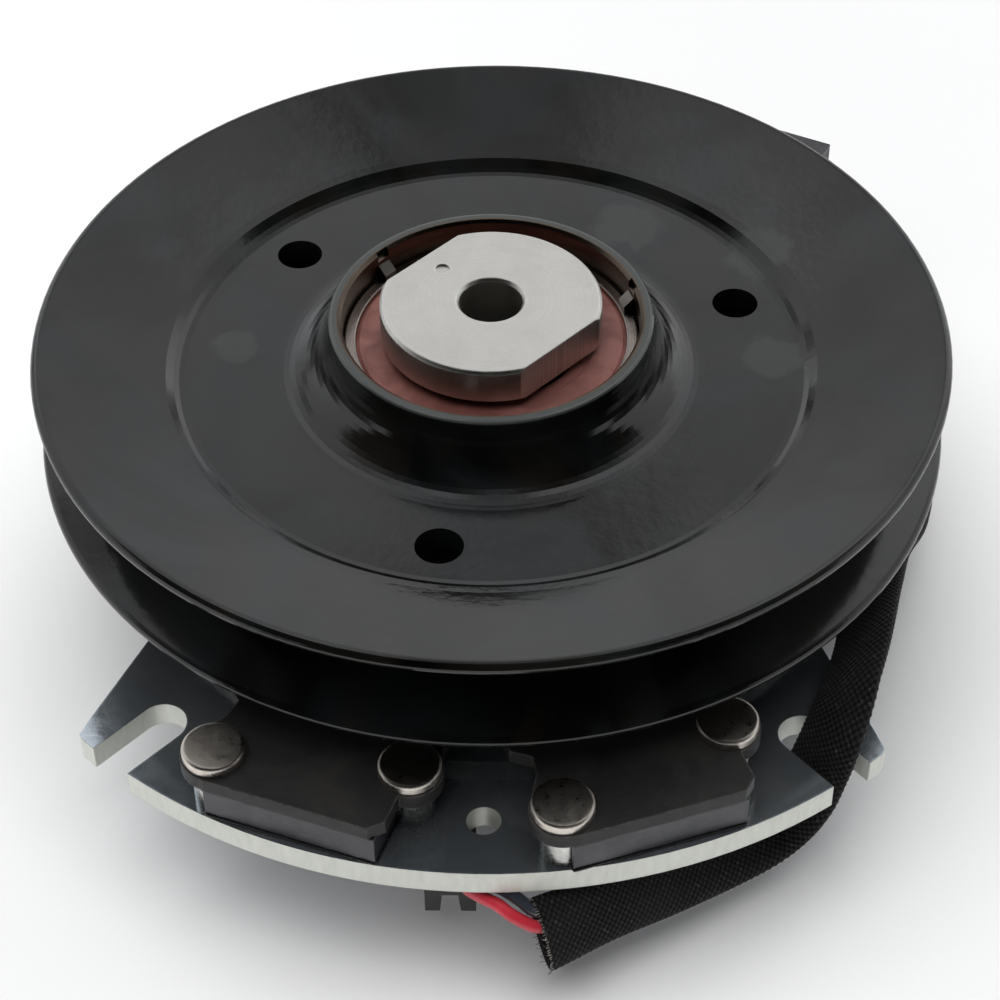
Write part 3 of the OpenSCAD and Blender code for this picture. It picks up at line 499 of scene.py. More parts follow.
worn_edge, given, out = shader_group(
    "Worn edge",
    [("Vector", "Vector", None), ("Width", "Float", 0.0005), ("Amount", "Float", 1.0)],
    [("Mask", "Float"), ("Normal", "Vector")],
)
rounded = add(worn_edge, "ShaderNodeBevel", {"Radius": given["Width"]}, samples=4).outputs[0]
true_normal = add(worn_edge, "ShaderNodeNewGeometry").outputs["Normal"]
facing = add(
    worn_edge, "ShaderNodeVectorMath", {0: rounded, 1: true_normal}, operation="DOT_PRODUCT"
)
turned_away = maths(worn_edge, "SUBTRACT", 1.0, facing.outputs["Value"])
patches = noise(worn_edge, given["Vector"], 900.0, 4.0, 0.65)
broken = spread(worn_edge, patches, 0.35, 0.6, 0.25, 1.0)
edge = maths(worn_edge, "MULTIPLY", spread(worn_edge, turned_away, 0.01, 0.12), broken)
edge = maths(worn_edge, "MULTIPLY", edge, given["Amount"], clamp=True)
worn_edge.links.new(edge, out.inputs["Mask"])
worn_edge.links.new(rounded, out.inputs["Normal"])

turning, given, out = shader_group(
    "Turning marks",
    [("Radius", "Float", 0.0), ("Pitch", "Float", 0.0003)],
    [("Height", "Float"), ("Mask", "Float")],
)
ring_place = maths(turning, "DIVIDE", given["Radius"], given["Pitch"])
wave = maths(turning, "SINE", maths(turning, "MULTIPLY", ring_place, 2 * math.pi))
uneven = add(
    turning, "ShaderNodeTexNoise", {"W": maths(turning, "MULTIPLY", ring_place, 0.55), "Detail": 4.0},
    noise_dimensions="1D",
).outputs["Fac"]
turning.links.new(
    maths(turning, "ADD", maths(turning, "MULTIPLY", wave, 0.2), uneven), out.inputs["Height"]
)
turning.links.new(spread(turning, uneven, 0.35, 0.65), out.inputs["Mask"])

scratches, given, out = shader_group(
    "Scratches",
    [("Vector", "Vector", None), ("Size", "Float", 0.004), ("Amount", "Float", 1.0)],
    [("Mask", "Float")],
)
per_metre = maths(scratches, "DIVIDE", 1.0, given["Size"])
total = None
for turn, stretch in ((0.4, 14.0), (1.7, 20.0), (2.6, 9.0)):
    turned = add(
        scratches, "ShaderNodeMapping",
        {"Vector": given["Vector"], "Rotation": (0, 0, turn), "Scale": (1, stretch, 1)},
    ).outputs[0]
    line = spread(scratches, noise(scratches, turned, per_metre, 2.0, 0.5, 0.3), 0.66, 0.72)
    total = line if total is None else maths(scratches, "MAXIMUM", total, line)
total = maths(scratches, "MULTIPLY", total, given["Amount"], clamp=True)
scratches.links.new(total, out.inputs["Mask"])

grit, given, out = shader_group(
    "Grit",
    [("Vector", "Vector", None), ("Size", "Float", 0.0004)],
    [("Height", "Float"), ("Specks", "Float")],
)
per_metre = maths(grit, "DIVIDE", 1.0, given["Size"])
grains = noise(grit, given["Vector"], per_metre, 5.0, 0.62)
grit.links.new(grains, out.inputs["Height"])
grit.links.new(spread(grit, grains, 0.58, 0.7), out.inputs["Specks"])
print("effects:", [group.name for group in bpy.data.node_groups])

# %% [markdown]
# Each finish starts from the same bench: one Principled shader, the Object coordinates, the
# distance from the shaft's axis and the height. What is the same all over a surface is set on the
# shader's own socket, and only what changes over the surface is wired.

# %% Start a finish


class Finish:
    """A new material with its shader, and the coordinates that most finishes need."""

    def __init__(self, name, **plain):
        self.name = name
        self.material = bpy.data.materials.new(name)
        self.material.use_nodes = True
        self.tree = self.material.node_tree
        self.tree.nodes.clear()
        self.shader = add(self.tree, "ShaderNodeBsdfPrincipled")
        result = add(self.tree, "ShaderNodeOutputMaterial")
        self.tree.links.new(self.shader.outputs[0], result.inputs["Surface"])
        coordinates = add(self.tree, "ShaderNodeTexCoord")
        self.place = coordinates.outputs["Object"]
        self.uv = coordinates.outputs["UV"]
        self.normal = coordinates.outputs["Normal"]
        for label, value in plain.items():
            self.shader.inputs[label.replace("_", " ")].default_value = value

    def wire(self, label, value):
        self.tree.links.new(value, self.shader.inputs[label])

    def bump(self, height, depth, normal=None):
        """Height times depth, in metres, as a small relief."""
        node = add(self.tree, "ShaderNodeBump", {"Height": height, "Distance": depth})
        if normal is not None:
            self.tree.links.new(normal, node.inputs["Normal"])
        self.tree.links.new(node.outputs[0], self.shader.inputs["Normal"])

    def radius(self, centre=(0, 0)):
        """Distance from an upright axis through a point of the plan, in metres."""
        x, y, _ = split(self.tree, self.place)
        dx = maths(self.tree, "SUBTRACT", x, centre[0])
        dy = maths(self.tree, "SUBTRACT", y, centre[1])
        square = maths(self.tree, "ADD", maths(self.tree, "MULTIPLY", dx, dx),
                       maths(self.tree, "MULTIPLY", dy, dy))
        return maths(self.tree, "SQRT", square)

    def height(self):
        return split(self.tree, self.place)[2]


finishes = {}


def keep(finish):
    """Keeps a finish under its own name, for the parts that ask for it by that name."""
    finishes[finish.name] = finish
    print("finish", finish.name, "has", len(finish.tree.nodes), "nodes")


# %% [markdown]
# The pulley is pressed from steel sheet and dipped in black electrocoat. The coat is smooth and
# glossy, and on handling it picks up a faint grey, brown and greenish haze with a few water spots.
# Inside the collar the bore was machined after coating, and three chisel stakes show bare steel.

# %% Pulley black
BORE_R = 26.0 * MM
COLLAR_R = 28.4 * MM
COLLAR_TOP = 67.0 * MM
BEARING_TOP = 61.9 * MM
WATER_SPOTS = [(-45.8, 4.0, 5.0), (25.1, 38.5, 8.0), (48.8, 29.6, 7.0), (49.5, 1.5, 6.5)]

pulley = Finish("pulley_black", IOR=1.5)
t = pulley.tree
cloud = use(t, haze, Vector=pulley.place, Size=0.034, Warp=1.1)
cloud_b = use(t, haze, Vector=stretched(t, pulley.place, (1.3, 0.8, 1.0)), Size=0.021, Warp=0.8)
base = blend_colours(t, cloud["Mask"], colour(4, 4, 4), colour(20, 22, 23))
base = blend_colours(t, maths(t, "MULTIPLY", cloud_b["Mask"], 0.45), base, colour(27, 23, 19))
greenish = spread(t, noise(t, pulley.place, 44.0, 3.0), 0.5, 0.66)
base = blend_colours(t, maths(t, "MULTIPLY", greenish, 0.3), base, colour(22, 27, 25))
spots = None
for x, y, r in WATER_SPOTS:
    away = pulley.radius((x * MM, y * MM))
    wobble = maths(t, "MULTIPLY", noise(t, pulley.place, 260.0, 3.0), r * 0.9 * MM)
    ragged = maths(t, "ADD", away, wobble)
    spot = spread(t, ragged, r * 1.1 * MM, r * 1.38 * MM, 1.0, 0.0)
    spots = spot if spots is None else maths(t, "MAXIMUM", spots, spot)
flat_up = spread(t, split(t, pulley.normal)[2], 0.8, 0.95)
spots = maths(t, "MULTIPLY", spots, flat_up)
base = blend_colours(t, maths(t, "MULTIPLY", spots, 0.5), base, colour(48, 51, 50))
radius = pulley.radius()
height = pulley.height()
above_bearing = spread(t, height, BEARING_TOP - 0.3 * MM, BEARING_TOP)
near_bore = spread(t, radius, BORE_R + 0.75 * MM, BORE_R + 0.9 * MM, 1.0, 0.0)
in_bore = maths(t, "MULTIPLY", near_bore, above_bearing)
past_bore = spread(t, radius, BORE_R - 0.25 * MM, BORE_R - 0.1 * MM, 1.0, 0.0)
on_stake = maths(t, "MULTIPLY", past_bore, above_bearing)
# Painted highlight: the flat ring on top of the collar is coloured lighter grey for its shine.
at_top = spread(t, height, COLLAR_TOP - 0.5 * MM, COLLAR_TOP - 0.2 * MM)
within_collar = spread(t, radius, COLLAR_R + 0.1 * MM, COLLAR_R + 0.4 * MM, 1.0, 0.0)
painted_collar_highlight = maths(t, "MULTIPLY", at_top, within_collar)
base = blend_colours(t, maths(t, "MULTIPLY", painted_collar_highlight, 0.8), base, colour(58, 62, 60))
bore_grain = noise(t, stretched(t, pulley.place, (120, 120, 2600)), 1.0, 3.0)
bore_colour = blend_colours(t, bore_grain, colour(62, 52, 45), colour(112, 101, 90))
base = blend_colours(t, in_bore, base, bore_colour)
base = blend_colours(t, on_stake, base, colour(122, 118, 114))
pulley.wire("Base Color", base)
rough = maths(t, "ADD", maths(t, "MULTIPLY", cloud["Mask"], 0.07), 0.09)
rough = maths(t, "ADD", rough, maths(t, "MULTIPLY", spots, 0.12))
rough = maths(t, "ADD", rough, maths(t, "MULTIPLY", in_bore, 0.2))
pulley.wire("Roughness", rough)
pulley.wire("Metallic", maths(t, "MAXIMUM", in_bore, on_stake))
pulley.bump(noise(t, pulley.place, 420.0, 2.0), 0.00003)
keep(pulley)

# %% [markdown]
# The backing plate is cold-rolled steel with bright bluish zinc. The rolled face has faint lines,
# small pits and scratches, and the blanked edges are rougher and paler than the faces.

# %% Zinc plate
zinc = Finish("zinc_plate")
t = zinc.tree
cloud = use(t, haze, Vector=zinc.place, Size=0.016, Warp=0.5)
rolled = noise(t, stretched(t, zinc.place, (60, 1500, 400)), 1.0, 4.0, 0.6)
marks = use(t, scratches, Vector=zinc.place, Size=0.006, Amount=0.6)["Mask"]
pits = use(t, grit, Vector=zinc.place, Size=0.0007)
upright = spread(t, maths(t, "ABSOLUTE", split(t, zinc.normal)[2]), 0.3, 0.6, 1.0, 0.0)
base = blend_colours(t, cloud["Mask"], colour(184, 195, 204), colour(212, 220, 225))
base = blend_colours(t, maths(t, "MULTIPLY", rolled, 0.5), base, colour(196, 202, 206))
base = blend_colours(t, maths(t, "MULTIPLY", pits["Specks"], 0.22), base, colour(110, 118, 126))
base = blend_colours(t, marks, base, colour(214, 220, 224))
edge_grain = noise(t, stretched(t, zinc.place, (900, 900, 220)), 1.0, 4.0)
edge_colour = blend_colours(t, edge_grain, colour(196, 198, 190), colour(226, 228, 220))
base = blend_colours(t, upright, base, edge_colour)
zinc.wire("Base Color", base)
rough = maths(t, "ADD", maths(t, "MULTIPLY", cloud["Fine"], 0.06), 0.1)
rough = maths(t, "ADD", rough, maths(t, "MULTIPLY", upright, 0.26))
zinc.wire("Roughness", rough)
zinc.wire("Metallic", maths(t, "SUBTRACT", 0.92, maths(t, "MULTIPLY", upright, 0.42)))
relief = maths(t, "MULTIPLY", rolled, 0.35)
relief = maths(t, "ADD", relief, maths(t, "MULTIPLY", pits["Height"], 0.5))
soft_edges = use(t, worn_edge, Vector=zinc.place, Width=0.0003, Amount=1.0)
zinc.bump(relief, 0.000012, normal=soft_edges["Normal"])
keep(zinc)

# %% Bright zinc, for the standoffs and small screws
bright = Finish("zinc_bright", Metallic=1.0)
t = bright.tree
cloud = use(t, haze, Vector=bright.place, Size=0.004, Warp=0.4)
base = blend_colours(t, cloud["Mask"], colour(198, 199, 196), colour(226, 226, 220))
bright.wire("Base Color", base)
bright.wire("Roughness", maths(t, "ADD", maths(t, "MULTIPLY", cloud["Fine"], 0.14), 0.2))
bright.bump(noise(t, stretched(t, bright.place, (300, 300, 4200)), 1.0, 3.0), 0.00002)
keep(bright)

# %% [markdown]
# The pole plates are soft iron under a matt charcoal coat, rubbed lighter at their edges.
# The magnets are ferrite, a sintered ceramic: dark, satin and finely granular.

# %% Black oxide
oxide = Finish("black_oxide", IOR=1.45, Specular_IOR_Level=0.42)
t = oxide.tree
cloud = use(t, haze, Vector=oxide.place, Size=0.011, Warp=0.5)
grains = use(t, grit, Vector=oxide.place, Size=0.0005)
marks = use(t, scratches, Vector=oxide.place, Size=0.003, Amount=0.16)["Mask"]
edges = use(t, worn_edge, Vector=oxide.place, Width=0.0005, Amount=0.75)
base = blend_colours(t, cloud["Mask"], colour(32, 31, 31), colour(41, 40, 39))
base = blend_colours(t, maths(t, "MULTIPLY", grains["Specks"], 0.5), base, colour(62, 60, 58))
base = blend_colours(t, marks, base, colour(66, 64, 62))
base = blend_colours(t, edges["Mask"], base, colour(104, 101, 98))
oxide.wire("Base Color", base)
oxide.wire("Roughness", maths(t, "ADD", maths(t, "MULTIPLY", cloud["Fine"], 0.08), 0.46))
oxide.bump(grains["Height"], 0.00005, normal=edges["Normal"])
keep(oxide)

# %% Ferrite magnet
ferrite = Finish("magnet", IOR=1.6)
t = ferrite.tree
cloud = use(t, haze, Vector=ferrite.place, Size=0.009, Warp=0.7)
grains = use(t, grit, Vector=ferrite.place, Size=0.0003)
edges = use(t, worn_edge, Vector=ferrite.place, Width=0.0004, Amount=0.5)
base = blend_colours(t, cloud["Mask"], colour(42, 42, 47), colour(58, 58, 64))
base = blend_colours(t, maths(t, "MULTIPLY", grains["Specks"], 0.4), base, colour(76, 76, 82))
base = blend_colours(t, edges["Mask"], base, colour(98, 98, 102))
ferrite.wire("Base Color", base)
ferrite.wire("Roughness", maths(t, "ADD", maths(t, "MULTIPLY", cloud["Fine"], 0.12), 0.32))
ferrite.bump(grains["Height"], 0.00004, normal=edges["Normal"])
keep(ferrite)

# %% [markdown]
# Turned steel shows fine rings round its own axis. The brake rivets stand at four places, so
# their rings are measured from the nearest of the four axes. The spacer, the hub and the bearing
# rings are all turned round the shaft.

# %% Turned steel
BRAKE_TURN = math.radians(19.45)
OUTER_RIVET = (-16.4, -84.6)
INNER_RIVET = (14.7, -77.0)


def turned_about_shaft(point, angle):
    x, y = point
    return (x * math.cos(angle) - y * math.sin(angle), x * math.sin(angle) + y * math.cos(angle))


rivet_axes = [
    turned_about_shaft(rivet, side * BRAKE_TURN)
    for side in (-1, 1)
    for rivet in (OUTER_RIVET, INNER_RIVET)
]
print("brake rivets at", [tuple(round(v, 1) for v in axis) for axis in rivet_axes])


def turned_steel(name, low, high, smoothness, pitch, axes=((0, 0),), depth=0.00003, scuff=0.4):
    finish = Finish(name, Metallic=1.0)
    t = finish.tree
    nearest = None
    for x, y in axes:
        away = finish.radius((x * MM, y * MM))
        nearest = away if nearest is None else maths(t, "MINIMUM", nearest, away)
    rings = use(t, turning, Radius=nearest, Pitch=pitch)
    cloud = use(t, haze, Vector=finish.place, Size=0.008, Warp=0.5)
    marks = use(t, scratches, Vector=finish.place, Size=0.0025, Amount=scuff)["Mask"]
    edges = use(t, worn_edge, Vector=finish.place, Width=0.0004, Amount=0.8)
    base = blend_colours(t, rings["Mask"], low, high)
    base = blend_colours(t, maths(t, "MULTIPLY", cloud["Mask"], 0.35), base, low)
    base = blend_colours(t, marks, base, tuple(v * 0.55 for v in low))
    base = blend_colours(t, edges["Mask"], base, tuple(min(v * 1.25, 0.9) for v in high))
    finish.wire("Base Color", base)
    finish.wire("Roughness", maths(t, "ADD", maths(t, "MULTIPLY", cloud["Fine"], 0.12), smoothness))
    finish.bump(rings["Height"], depth, normal=edges["Normal"])
    return finish


keep(turned_steel("rivet_steel", colour(188, 180, 170), colour(228, 221, 211), 0.27, 0.38 * MM,
                  rivet_axes, depth=0.000014, scuff=0.06))
keep(turned_steel("machined_steel", colour(196, 194, 189), colour(222, 220, 214), 0.34, 0.22 * MM,
                  depth=0.000008, scuff=0.18))
keep(turned_steel("bearing_steel", colour(122, 112, 106), colour(158, 150, 144), 0.16, 0.3 * MM,
                  depth=0.000008, scuff=0.15))
keep(turned_steel("spring_steel", colour(118, 124, 134), colour(146, 152, 160), 0.26, 1.2 * MM,
                  depth=0.00001))

# %% [markdown]
# The rotor, the armature and the field shell are plain steel with a thin satin black coat.
# The rotor's and the armature's faces rub on each other, but they hide under the pulley.

# %% Satin black steel
satin = Finish("black_steel", IOR=1.5, Coat_Weight=0.15, Coat_Roughness=0.3)
t = satin.tree
cloud = use(t, haze, Vector=satin.place, Size=0.018, Warp=0.8)
grains = use(t, grit, Vector=satin.place, Size=0.0009)
edges = use(t, worn_edge, Vector=satin.place, Width=0.0005, Amount=0.5)
base = blend_colours(t, cloud["Mask"], colour(30, 30, 32), colour(48, 48, 50))
base = blend_colours(t, maths(t, "MULTIPLY", grains["Specks"], 0.35), base, colour(64, 64, 66))
base = blend_colours(t, edges["Mask"], base, colour(108, 108, 108))
satin.wire("Base Color", base)
satin.wire("Roughness", maths(t, "ADD", maths(t, "MULTIPLY", cloud["Fine"], 0.15), 0.36))
satin.bump(grains["Height"], 0.00005, normal=edges["Normal"])
keep(satin)

# %% [markdown]
# Rubber, nylon, lining and resin are moulded. They differ in colour, gloss and grain, so one
# function makes them all, from two colours, a gloss and a grain size.

# %% Moulded finishes


def moulded(name, low, high, dull, grain, depth=0.00004, size=0.006, **plain):
    finish = Finish(name, **plain)
    t = finish.tree
    cloud = use(t, haze, Vector=finish.place, Size=size, Warp=0.7)
    grains = use(t, grit, Vector=finish.place, Size=grain)
    dust = spread(t, noise(t, finish.place, 2600.0, 3.0), 0.66, 0.76, 0.0, 0.35)
    base = blend_colours(t, cloud["Mask"], low, high)
    base = blend_colours(t, dust, base, tuple(min(v * 1.8 + 0.03, 0.9) for v in high))
    finish.wire("Base Color", base)
    finish.wire("Roughness", maths(t, "ADD", maths(t, "MULTIPLY", cloud["Fine"], 0.14), dull))
    finish.bump(grains["Height"], depth)
    return finish


keep(moulded("seal_rubber", colour(106, 66, 60), colour(128, 84, 78), 0.5, 0.0004, 0.00003))
keep(moulded("friction_lining", colour(92, 80, 66), colour(120, 104, 88), 0.8, 0.0012, 0.0002))
keep(moulded("cage_nylon", colour(196, 186, 160), colour(214, 206, 184), 0.45, 0.0006))
keep(moulded("nylon", colour(20, 20, 21), colour(32, 32, 33), 0.4, 0.0006))
keep(moulded("connector_plastic", colour(38, 38, 40), colour(52, 52, 54), 0.42, 0.0005, 0.00005))
keep(moulded("potting_resin", colour(30, 32, 38), colour(40, 42, 50), 0.16, 0.003, 0.00005))
keep(moulded("red_insulation", colour(186, 44, 58), colour(208, 66, 80), 0.3, 0.0008, 0.00002,
             Coat_Weight=0.3, Coat_Roughness=0.15))
keep(moulded("grey_insulation", colour(44, 48, 56), colour(60, 64, 74), 0.32, 0.0008, 0.00002,
             Coat_Weight=0.2, Coat_Roughness=0.2))

# %% Copper wire and brass terminals


def drawn_metal(name, low, high, dull, stretch):
    finish = Finish(name, Metallic=1.0)
    t = finish.tree
    lines = noise(t, stretched(t, finish.place, stretch), 1.0, 3.0)
    cloud = use(t, haze, Vector=finish.place, Size=0.004, Warp=0.5)
    finish.wire("Base Color", blend_colours(t, cloud["Mask"], low, high))
    finish.wire("Roughness", maths(t, "ADD", maths(t, "MULTIPLY", cloud["Fine"], 0.14), dull))
    finish.bump(lines, 0.00004)
    return finish


keep(drawn_metal("copper_wire", colour(170, 92, 52), colour(206, 122, 76), 0.25, (200, 200, 3200)))
keep(drawn_metal("terminal_brass", colour(206, 172, 96), colour(226, 196, 124), 0.2, (400, 400, 2400)))

# %% [markdown]
# The sleeve's yarn is black polyester, each strand a bundle of fine filaments. The crossings are
# real bumps in the mesh, so the material follows the same crossings through the UV map: a painted
# highlight makes the top of a bump lighter and painted shade makes the gaps between darker, with
# filament lines and grey flecks that are painted glints of shine on the bump tops.

# %% Woven yarn
STRANDS_PER_BUMP = 4
STRANDS_PER_MM = 2.2
yarn = Finish(
    "woven_sleeve", Sheen_Weight=0.04, Sheen_Roughness=0.5, IOR=1.45, Specular_IOR_Level=0.25
)
t = yarn.tree
u, v, _ = split(t, yarn.uv)
round_turns = maths(t, "MULTIPLY", u, 2 * math.pi * BUMPS_ROUND)
along_turns = maths(t, "MULTIPLY", v, 2 * math.pi * sleeve_mm / BUMP_ALONG)
crossing = maths(t, "MULTIPLY", maths(t, "COSINE", round_turns), maths(t, "COSINE", along_turns))
on_top = spread(t, crossing, -0.45, 0.75)
strands_round = maths(t, "MULTIPLY", u, 2 * math.pi * BUMPS_ROUND * STRANDS_PER_BUMP)
strands_along = maths(t, "MULTIPLY", v, 2 * math.pi * sleeve_mm * STRANDS_PER_MM)
strands = maths(t, "SINE", maths(t, "ADD", strands_round, strands_along))
# Painted glints: these grey flecks stand for small shiny spots of yarn, and they sit only on bump
# tops.
glint_flecks = spread(t, noise(t, yarn.place, 1300.0, 3.0, 0.75), 0.56, 0.68)
wear = use(t, haze, Vector=yarn.place, Size=0.012, Warp=0.6)
# Painted highlight and shade: bump tops are coloured lighter and the gaps between them darker.
base = blend_colours(t, on_top, colour(5, 5, 5), colour(33, 32, 32))
base = blend_colours(t, maths(t, "MULTIPLY", wear["Mask"], 0.3), base, colour(33, 32, 31))
glints_on_top = maths(t, "MULTIPLY", maths(t, "MULTIPLY", glint_flecks, on_top), 0.7)
base = blend_colours(t, glints_on_top, base, colour(84, 81, 79))
yarn.wire("Base Color", base)
yarn.wire("Roughness", maths(t, "ADD", maths(t, "MULTIPLY", on_top, -0.12), 0.78))
relief = maths(t, "MULTIPLY", on_top, 0.8)
yarn.bump(maths(t, "ADD", relief, maths(t, "MULTIPLY", strands, 0.16)), 0.00012)
keep(yarn)

thread = moulded(
    "torn_thread", colour(104, 100, 96), colour(164, 160, 154), 0.7, 0.0002, 0.00001, size=0.002
)
glue = moulded("black_glue", colour(14, 14, 15), colour(24, 24, 26), 0.22, 0.0008, 0.00004)

# %% Put the finishes on the CAD parts
for part in frame["record"]["subparts"]:
    node = frame["nodes"][part["node"]]
    node.data.materials.clear()
    node.data.materials.append(finishes[part["material_slot"]].material)

# %% [markdown]
# The torn threads grow from the lip of the sleeve's mouth. They lean out of the mouth, away from
# the sleeve's run, and each is a short arc of a few sides, thin enough to read as yarn.

# %% Torn threads
tree, names = make_geometry_tree(
    "Torn threads",
    [("Count", "NodeSocketInt", 46), ("Length", "NodeSocketFloat", 0.0016),
     ("Thickness", "NodeSocketFloat", 0.00009), ("Seed", "NodeSocketInt", 7),
     ("Lean", "NodeSocketVector", (0.0, 0.0, 1.0)), ("Yarn", "NodeSocketMaterial", None)],
)
entry = add(tree, "NodeGroupInput").outputs
lip = add(tree, "GeometryNodeMeshToCurve", {"Mesh": entry["Geometry"]}).outputs[0]
roots = add(tree, "GeometryNodeCurveToPoints", {"Curve": lip, "Count": entry["Count"]}, mode="COUNT")
arc = add(tree, "GeometryNodeCurveQuadraticBezier", {
    "Resolution": 5, "Start": (0, 0, 0), "Middle": (0.25, 0.1, 0.6), "End": (0.15, 0.45, 1.0)})
thin = add(tree, "GeometryNodeCurvePrimitiveCircle", {"Resolution": 4, "Radius": entry["Thickness"]})
turn = add(tree, "FunctionNodeAlignRotationToVector", {"Vector": entry["Lean"]}, axis="Z")
spin = add(tree, "FunctionNodeRandomValue", {
    "Min": (-0.55, -0.55, -3.1), "Max": (0.55, 0.55, 3.1), "Seed": entry["Seed"]},
    data_type="FLOAT_VECTOR")
leaning = add(tree, "FunctionNodeRotateRotation", {
    "Rotation": turn.outputs[0], "Rotate By": spin.outputs[0]}, rotation_space="LOCAL")
size = add(tree, "FunctionNodeRandomValue", {2: 0.35, 3: 1.25, "Seed": entry["Seed"]},
           data_type="FLOAT")
placed = add(tree, "GeometryNodeInstanceOnPoints", {
    "Points": roots.outputs[0], "Instance": arc.outputs[0], "Rotation": leaning.outputs[0],
    "Scale": maths(tree, "MULTIPLY", size.outputs[1], entry["Length"])})
real = add(tree, "GeometryNodeRealizeInstances", {0: placed.outputs[0]})
tubes = add(tree, "GeometryNodeCurveToMesh", {
    "Curve": real.outputs[0], "Profile Curve": thin.outputs[0], "Fill Caps": True})
dyed = add(tree, "GeometryNodeSetMaterial", {"Geometry": tubes.outputs[0], "Material": entry["Yarn"]})
done = add(tree, "NodeGroupOutput")
tree.links.new(dyed.outputs[0], done.inputs[0])

lip_ring = sleeve_grid[len(inside)]
frays = line_object("sleeve_frays", [list(np.concatenate([lip_ring, lip_ring[:1]]))])
frays = grow(frays, tree, names, {
    "Count": 64, "Length": 0.8 * MM, "Thickness": 0.07 * MM, "Seed": 7,
    "Lean": tuple(-sleeve_ahead[0]), "Yarn": thread.material})

# %% [markdown]
# Each magnet is glued to the plate and to its pole, and the glue squeezes out as a thin black
# bead. A bead follows the magnet's outline, so Geometry Nodes sweep a small circle along it,
# and noise along the way makes it swell and shrink as real glue does.

# %% Glue beads
tree, names = make_geometry_tree(
    "Glue bead",
    [("Radius", "NodeSocketFloat", 0.0003), ("Step", "NodeSocketFloat", 0.0005),
     ("Unevenness", "NodeSocketFloat", 0.35), ("Glue", "NodeSocketMaterial", None)],
)
entry = add(tree, "NodeGroupInput").outputs
path = add(tree, "GeometryNodeMeshToCurve", {"Mesh": entry["Geometry"]}).outputs[0]
path = add(
    tree, "GeometryNodeResampleCurve", {"Curve": path, "Length": entry["Step"]}, mode="LENGTH"
).outputs[0]
here = add(tree, "GeometryNodeInputPosition").outputs[0]
bumpy = add(tree, "ShaderNodeTexNoise", {"Vector": here, "Scale": 500.0, "Detail": 2.0}).outputs[0]
swell = add(tree, "ShaderNodeMapRange", {"Value": bumpy, "From Min": 0.3, "From Max": 0.7})
for limit, operation in (("To Min", "SUBTRACT"), ("To Max", "ADD")):
    tree.links.new(maths(tree, operation, 1.0, entry["Unevenness"]), swell.inputs[limit])
circle = add(tree, "GeometryNodeCurvePrimitiveCircle", {"Resolution": 8, "Radius": entry["Radius"]})
bead = add(tree, "GeometryNodeCurveToMesh", {
    "Curve": path, "Profile Curve": circle.outputs[0], "Scale": swell.outputs[0], "Fill Caps": True})
soft = add(tree, "GeometryNodeSetShadeSmooth", {"Geometry": bead.outputs[0]})
real = add(tree, "GeometryNodeRealizeInstances", {0: soft.outputs[0]})
dyed = add(tree, "GeometryNodeSetMaterial", {"Geometry": real.outputs[0], "Material": entry["Glue"]})
done = add(tree, "NodeGroupOutput")
tree.links.new(dyed.outputs[0], done.inputs[0])

MAGNET_LEFT, MAGNET_RIGHT, MAGNET_FRONT = -16.3, 13.5, -89.8
GLUE_LINES = [
    [(MAGNET_LEFT, -89.0), (MAGNET_LEFT, MAGNET_FRONT), (MAGNET_RIGHT, MAGNET_FRONT),
     (MAGNET_RIGHT, -81.3)],
    [(MAGNET_LEFT, -80.2), (MAGNET_LEFT, -72.0)],
]
PLATE_TOP, POLE_UNDER = 27.0, 33.8
BEAD_RISE = 0.28
glue_beads = []
for side, label in ((-1, "left"), (1, "right")):
    lines = []
    for level in (PLATE_TOP + BEAD_RISE, POLE_UNDER - BEAD_RISE):
        for line in GLUE_LINES:
            plan = [turned_about_shaft(p, side * BRAKE_TURN) for p in line]
            lines.append([(x * MM, y * MM, level * MM) for x, y in plan])
    bead_piece = line_object("glue_" + label, lines)
    glue_beads.append(grow(bead_piece, tree, names, {
        "Radius": 0.34 * MM, "Step": 0.45 * MM, "Unevenness": 0.3, "Glue": glue.material}))

# %% [markdown]
# Every piece rides on a CAD body, so that it moves with it. The lead belongs to the field, which
# never turns. The three cords' lengths are printed.

# %% Say what rides on what
for piece, finish, stands_for, wanted in (
    (sleeve, finishes["woven_sleeve"], "woven_sleeve", "woven_sleeve"),
    (red_wire, finishes["red_insulation"], "red_wire", "red_insulation"),
    (grey_wire, finishes["grey_insulation"], "black_wire", "grey_insulation"),
):
    piece.data.materials.append(finish.material)
    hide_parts(stands_for)
    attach(piece, "field")
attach(frays, "field")
for bead_piece in glue_beads:
    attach(bead_piece, "field")

print("cords in mm:", [round(length) for length in (sleeve_mm, red_length / MM, grey_length / MM)])

# %% [markdown]
# The room is a plain pale floor with soft light. A black gloss coat shows its room more than its
# own colour, so the room is made with care: a pale wall behind, brighter at its two corners, low
# in its middle and falling away at the sides, and dark in front. The ceiling darkens towards the
# front, because the flare round the collar mirrors it as black. Two lamps light the floor and
# the matt parts, and aren't mirrored.

# %% Floor
floor_mesh = bpy.data.meshes.new("studio_floor")
half = 4.0
low = cad_box[0][2] - 0.2 * MM
corners = [(-half, -half, low), (half, -half, low), (half, half, low), (-half, half, low)]
floor_mesh.from_pydata(corners, [], [(0, 1, 2, 3)])
floor = bpy.data.objects.new("studio_floor", floor_mesh)
bpy.context.scene.collection.objects.link(floor)
paper = Finish("studio_paper", Roughness=0.85, Specular_IOR_Level=0.1)
paper_grain = noise(paper.tree, paper.place, 6.0)
paper_colour = blend_colours(paper.tree, paper_grain, (0.86, 0.86, 0.86), (0.89, 0.89, 0.89))
paper.wire("Base Color", paper_colour)
floor_mesh.materials.append(paper.material)
print("floor is", 2 * half, "m across")

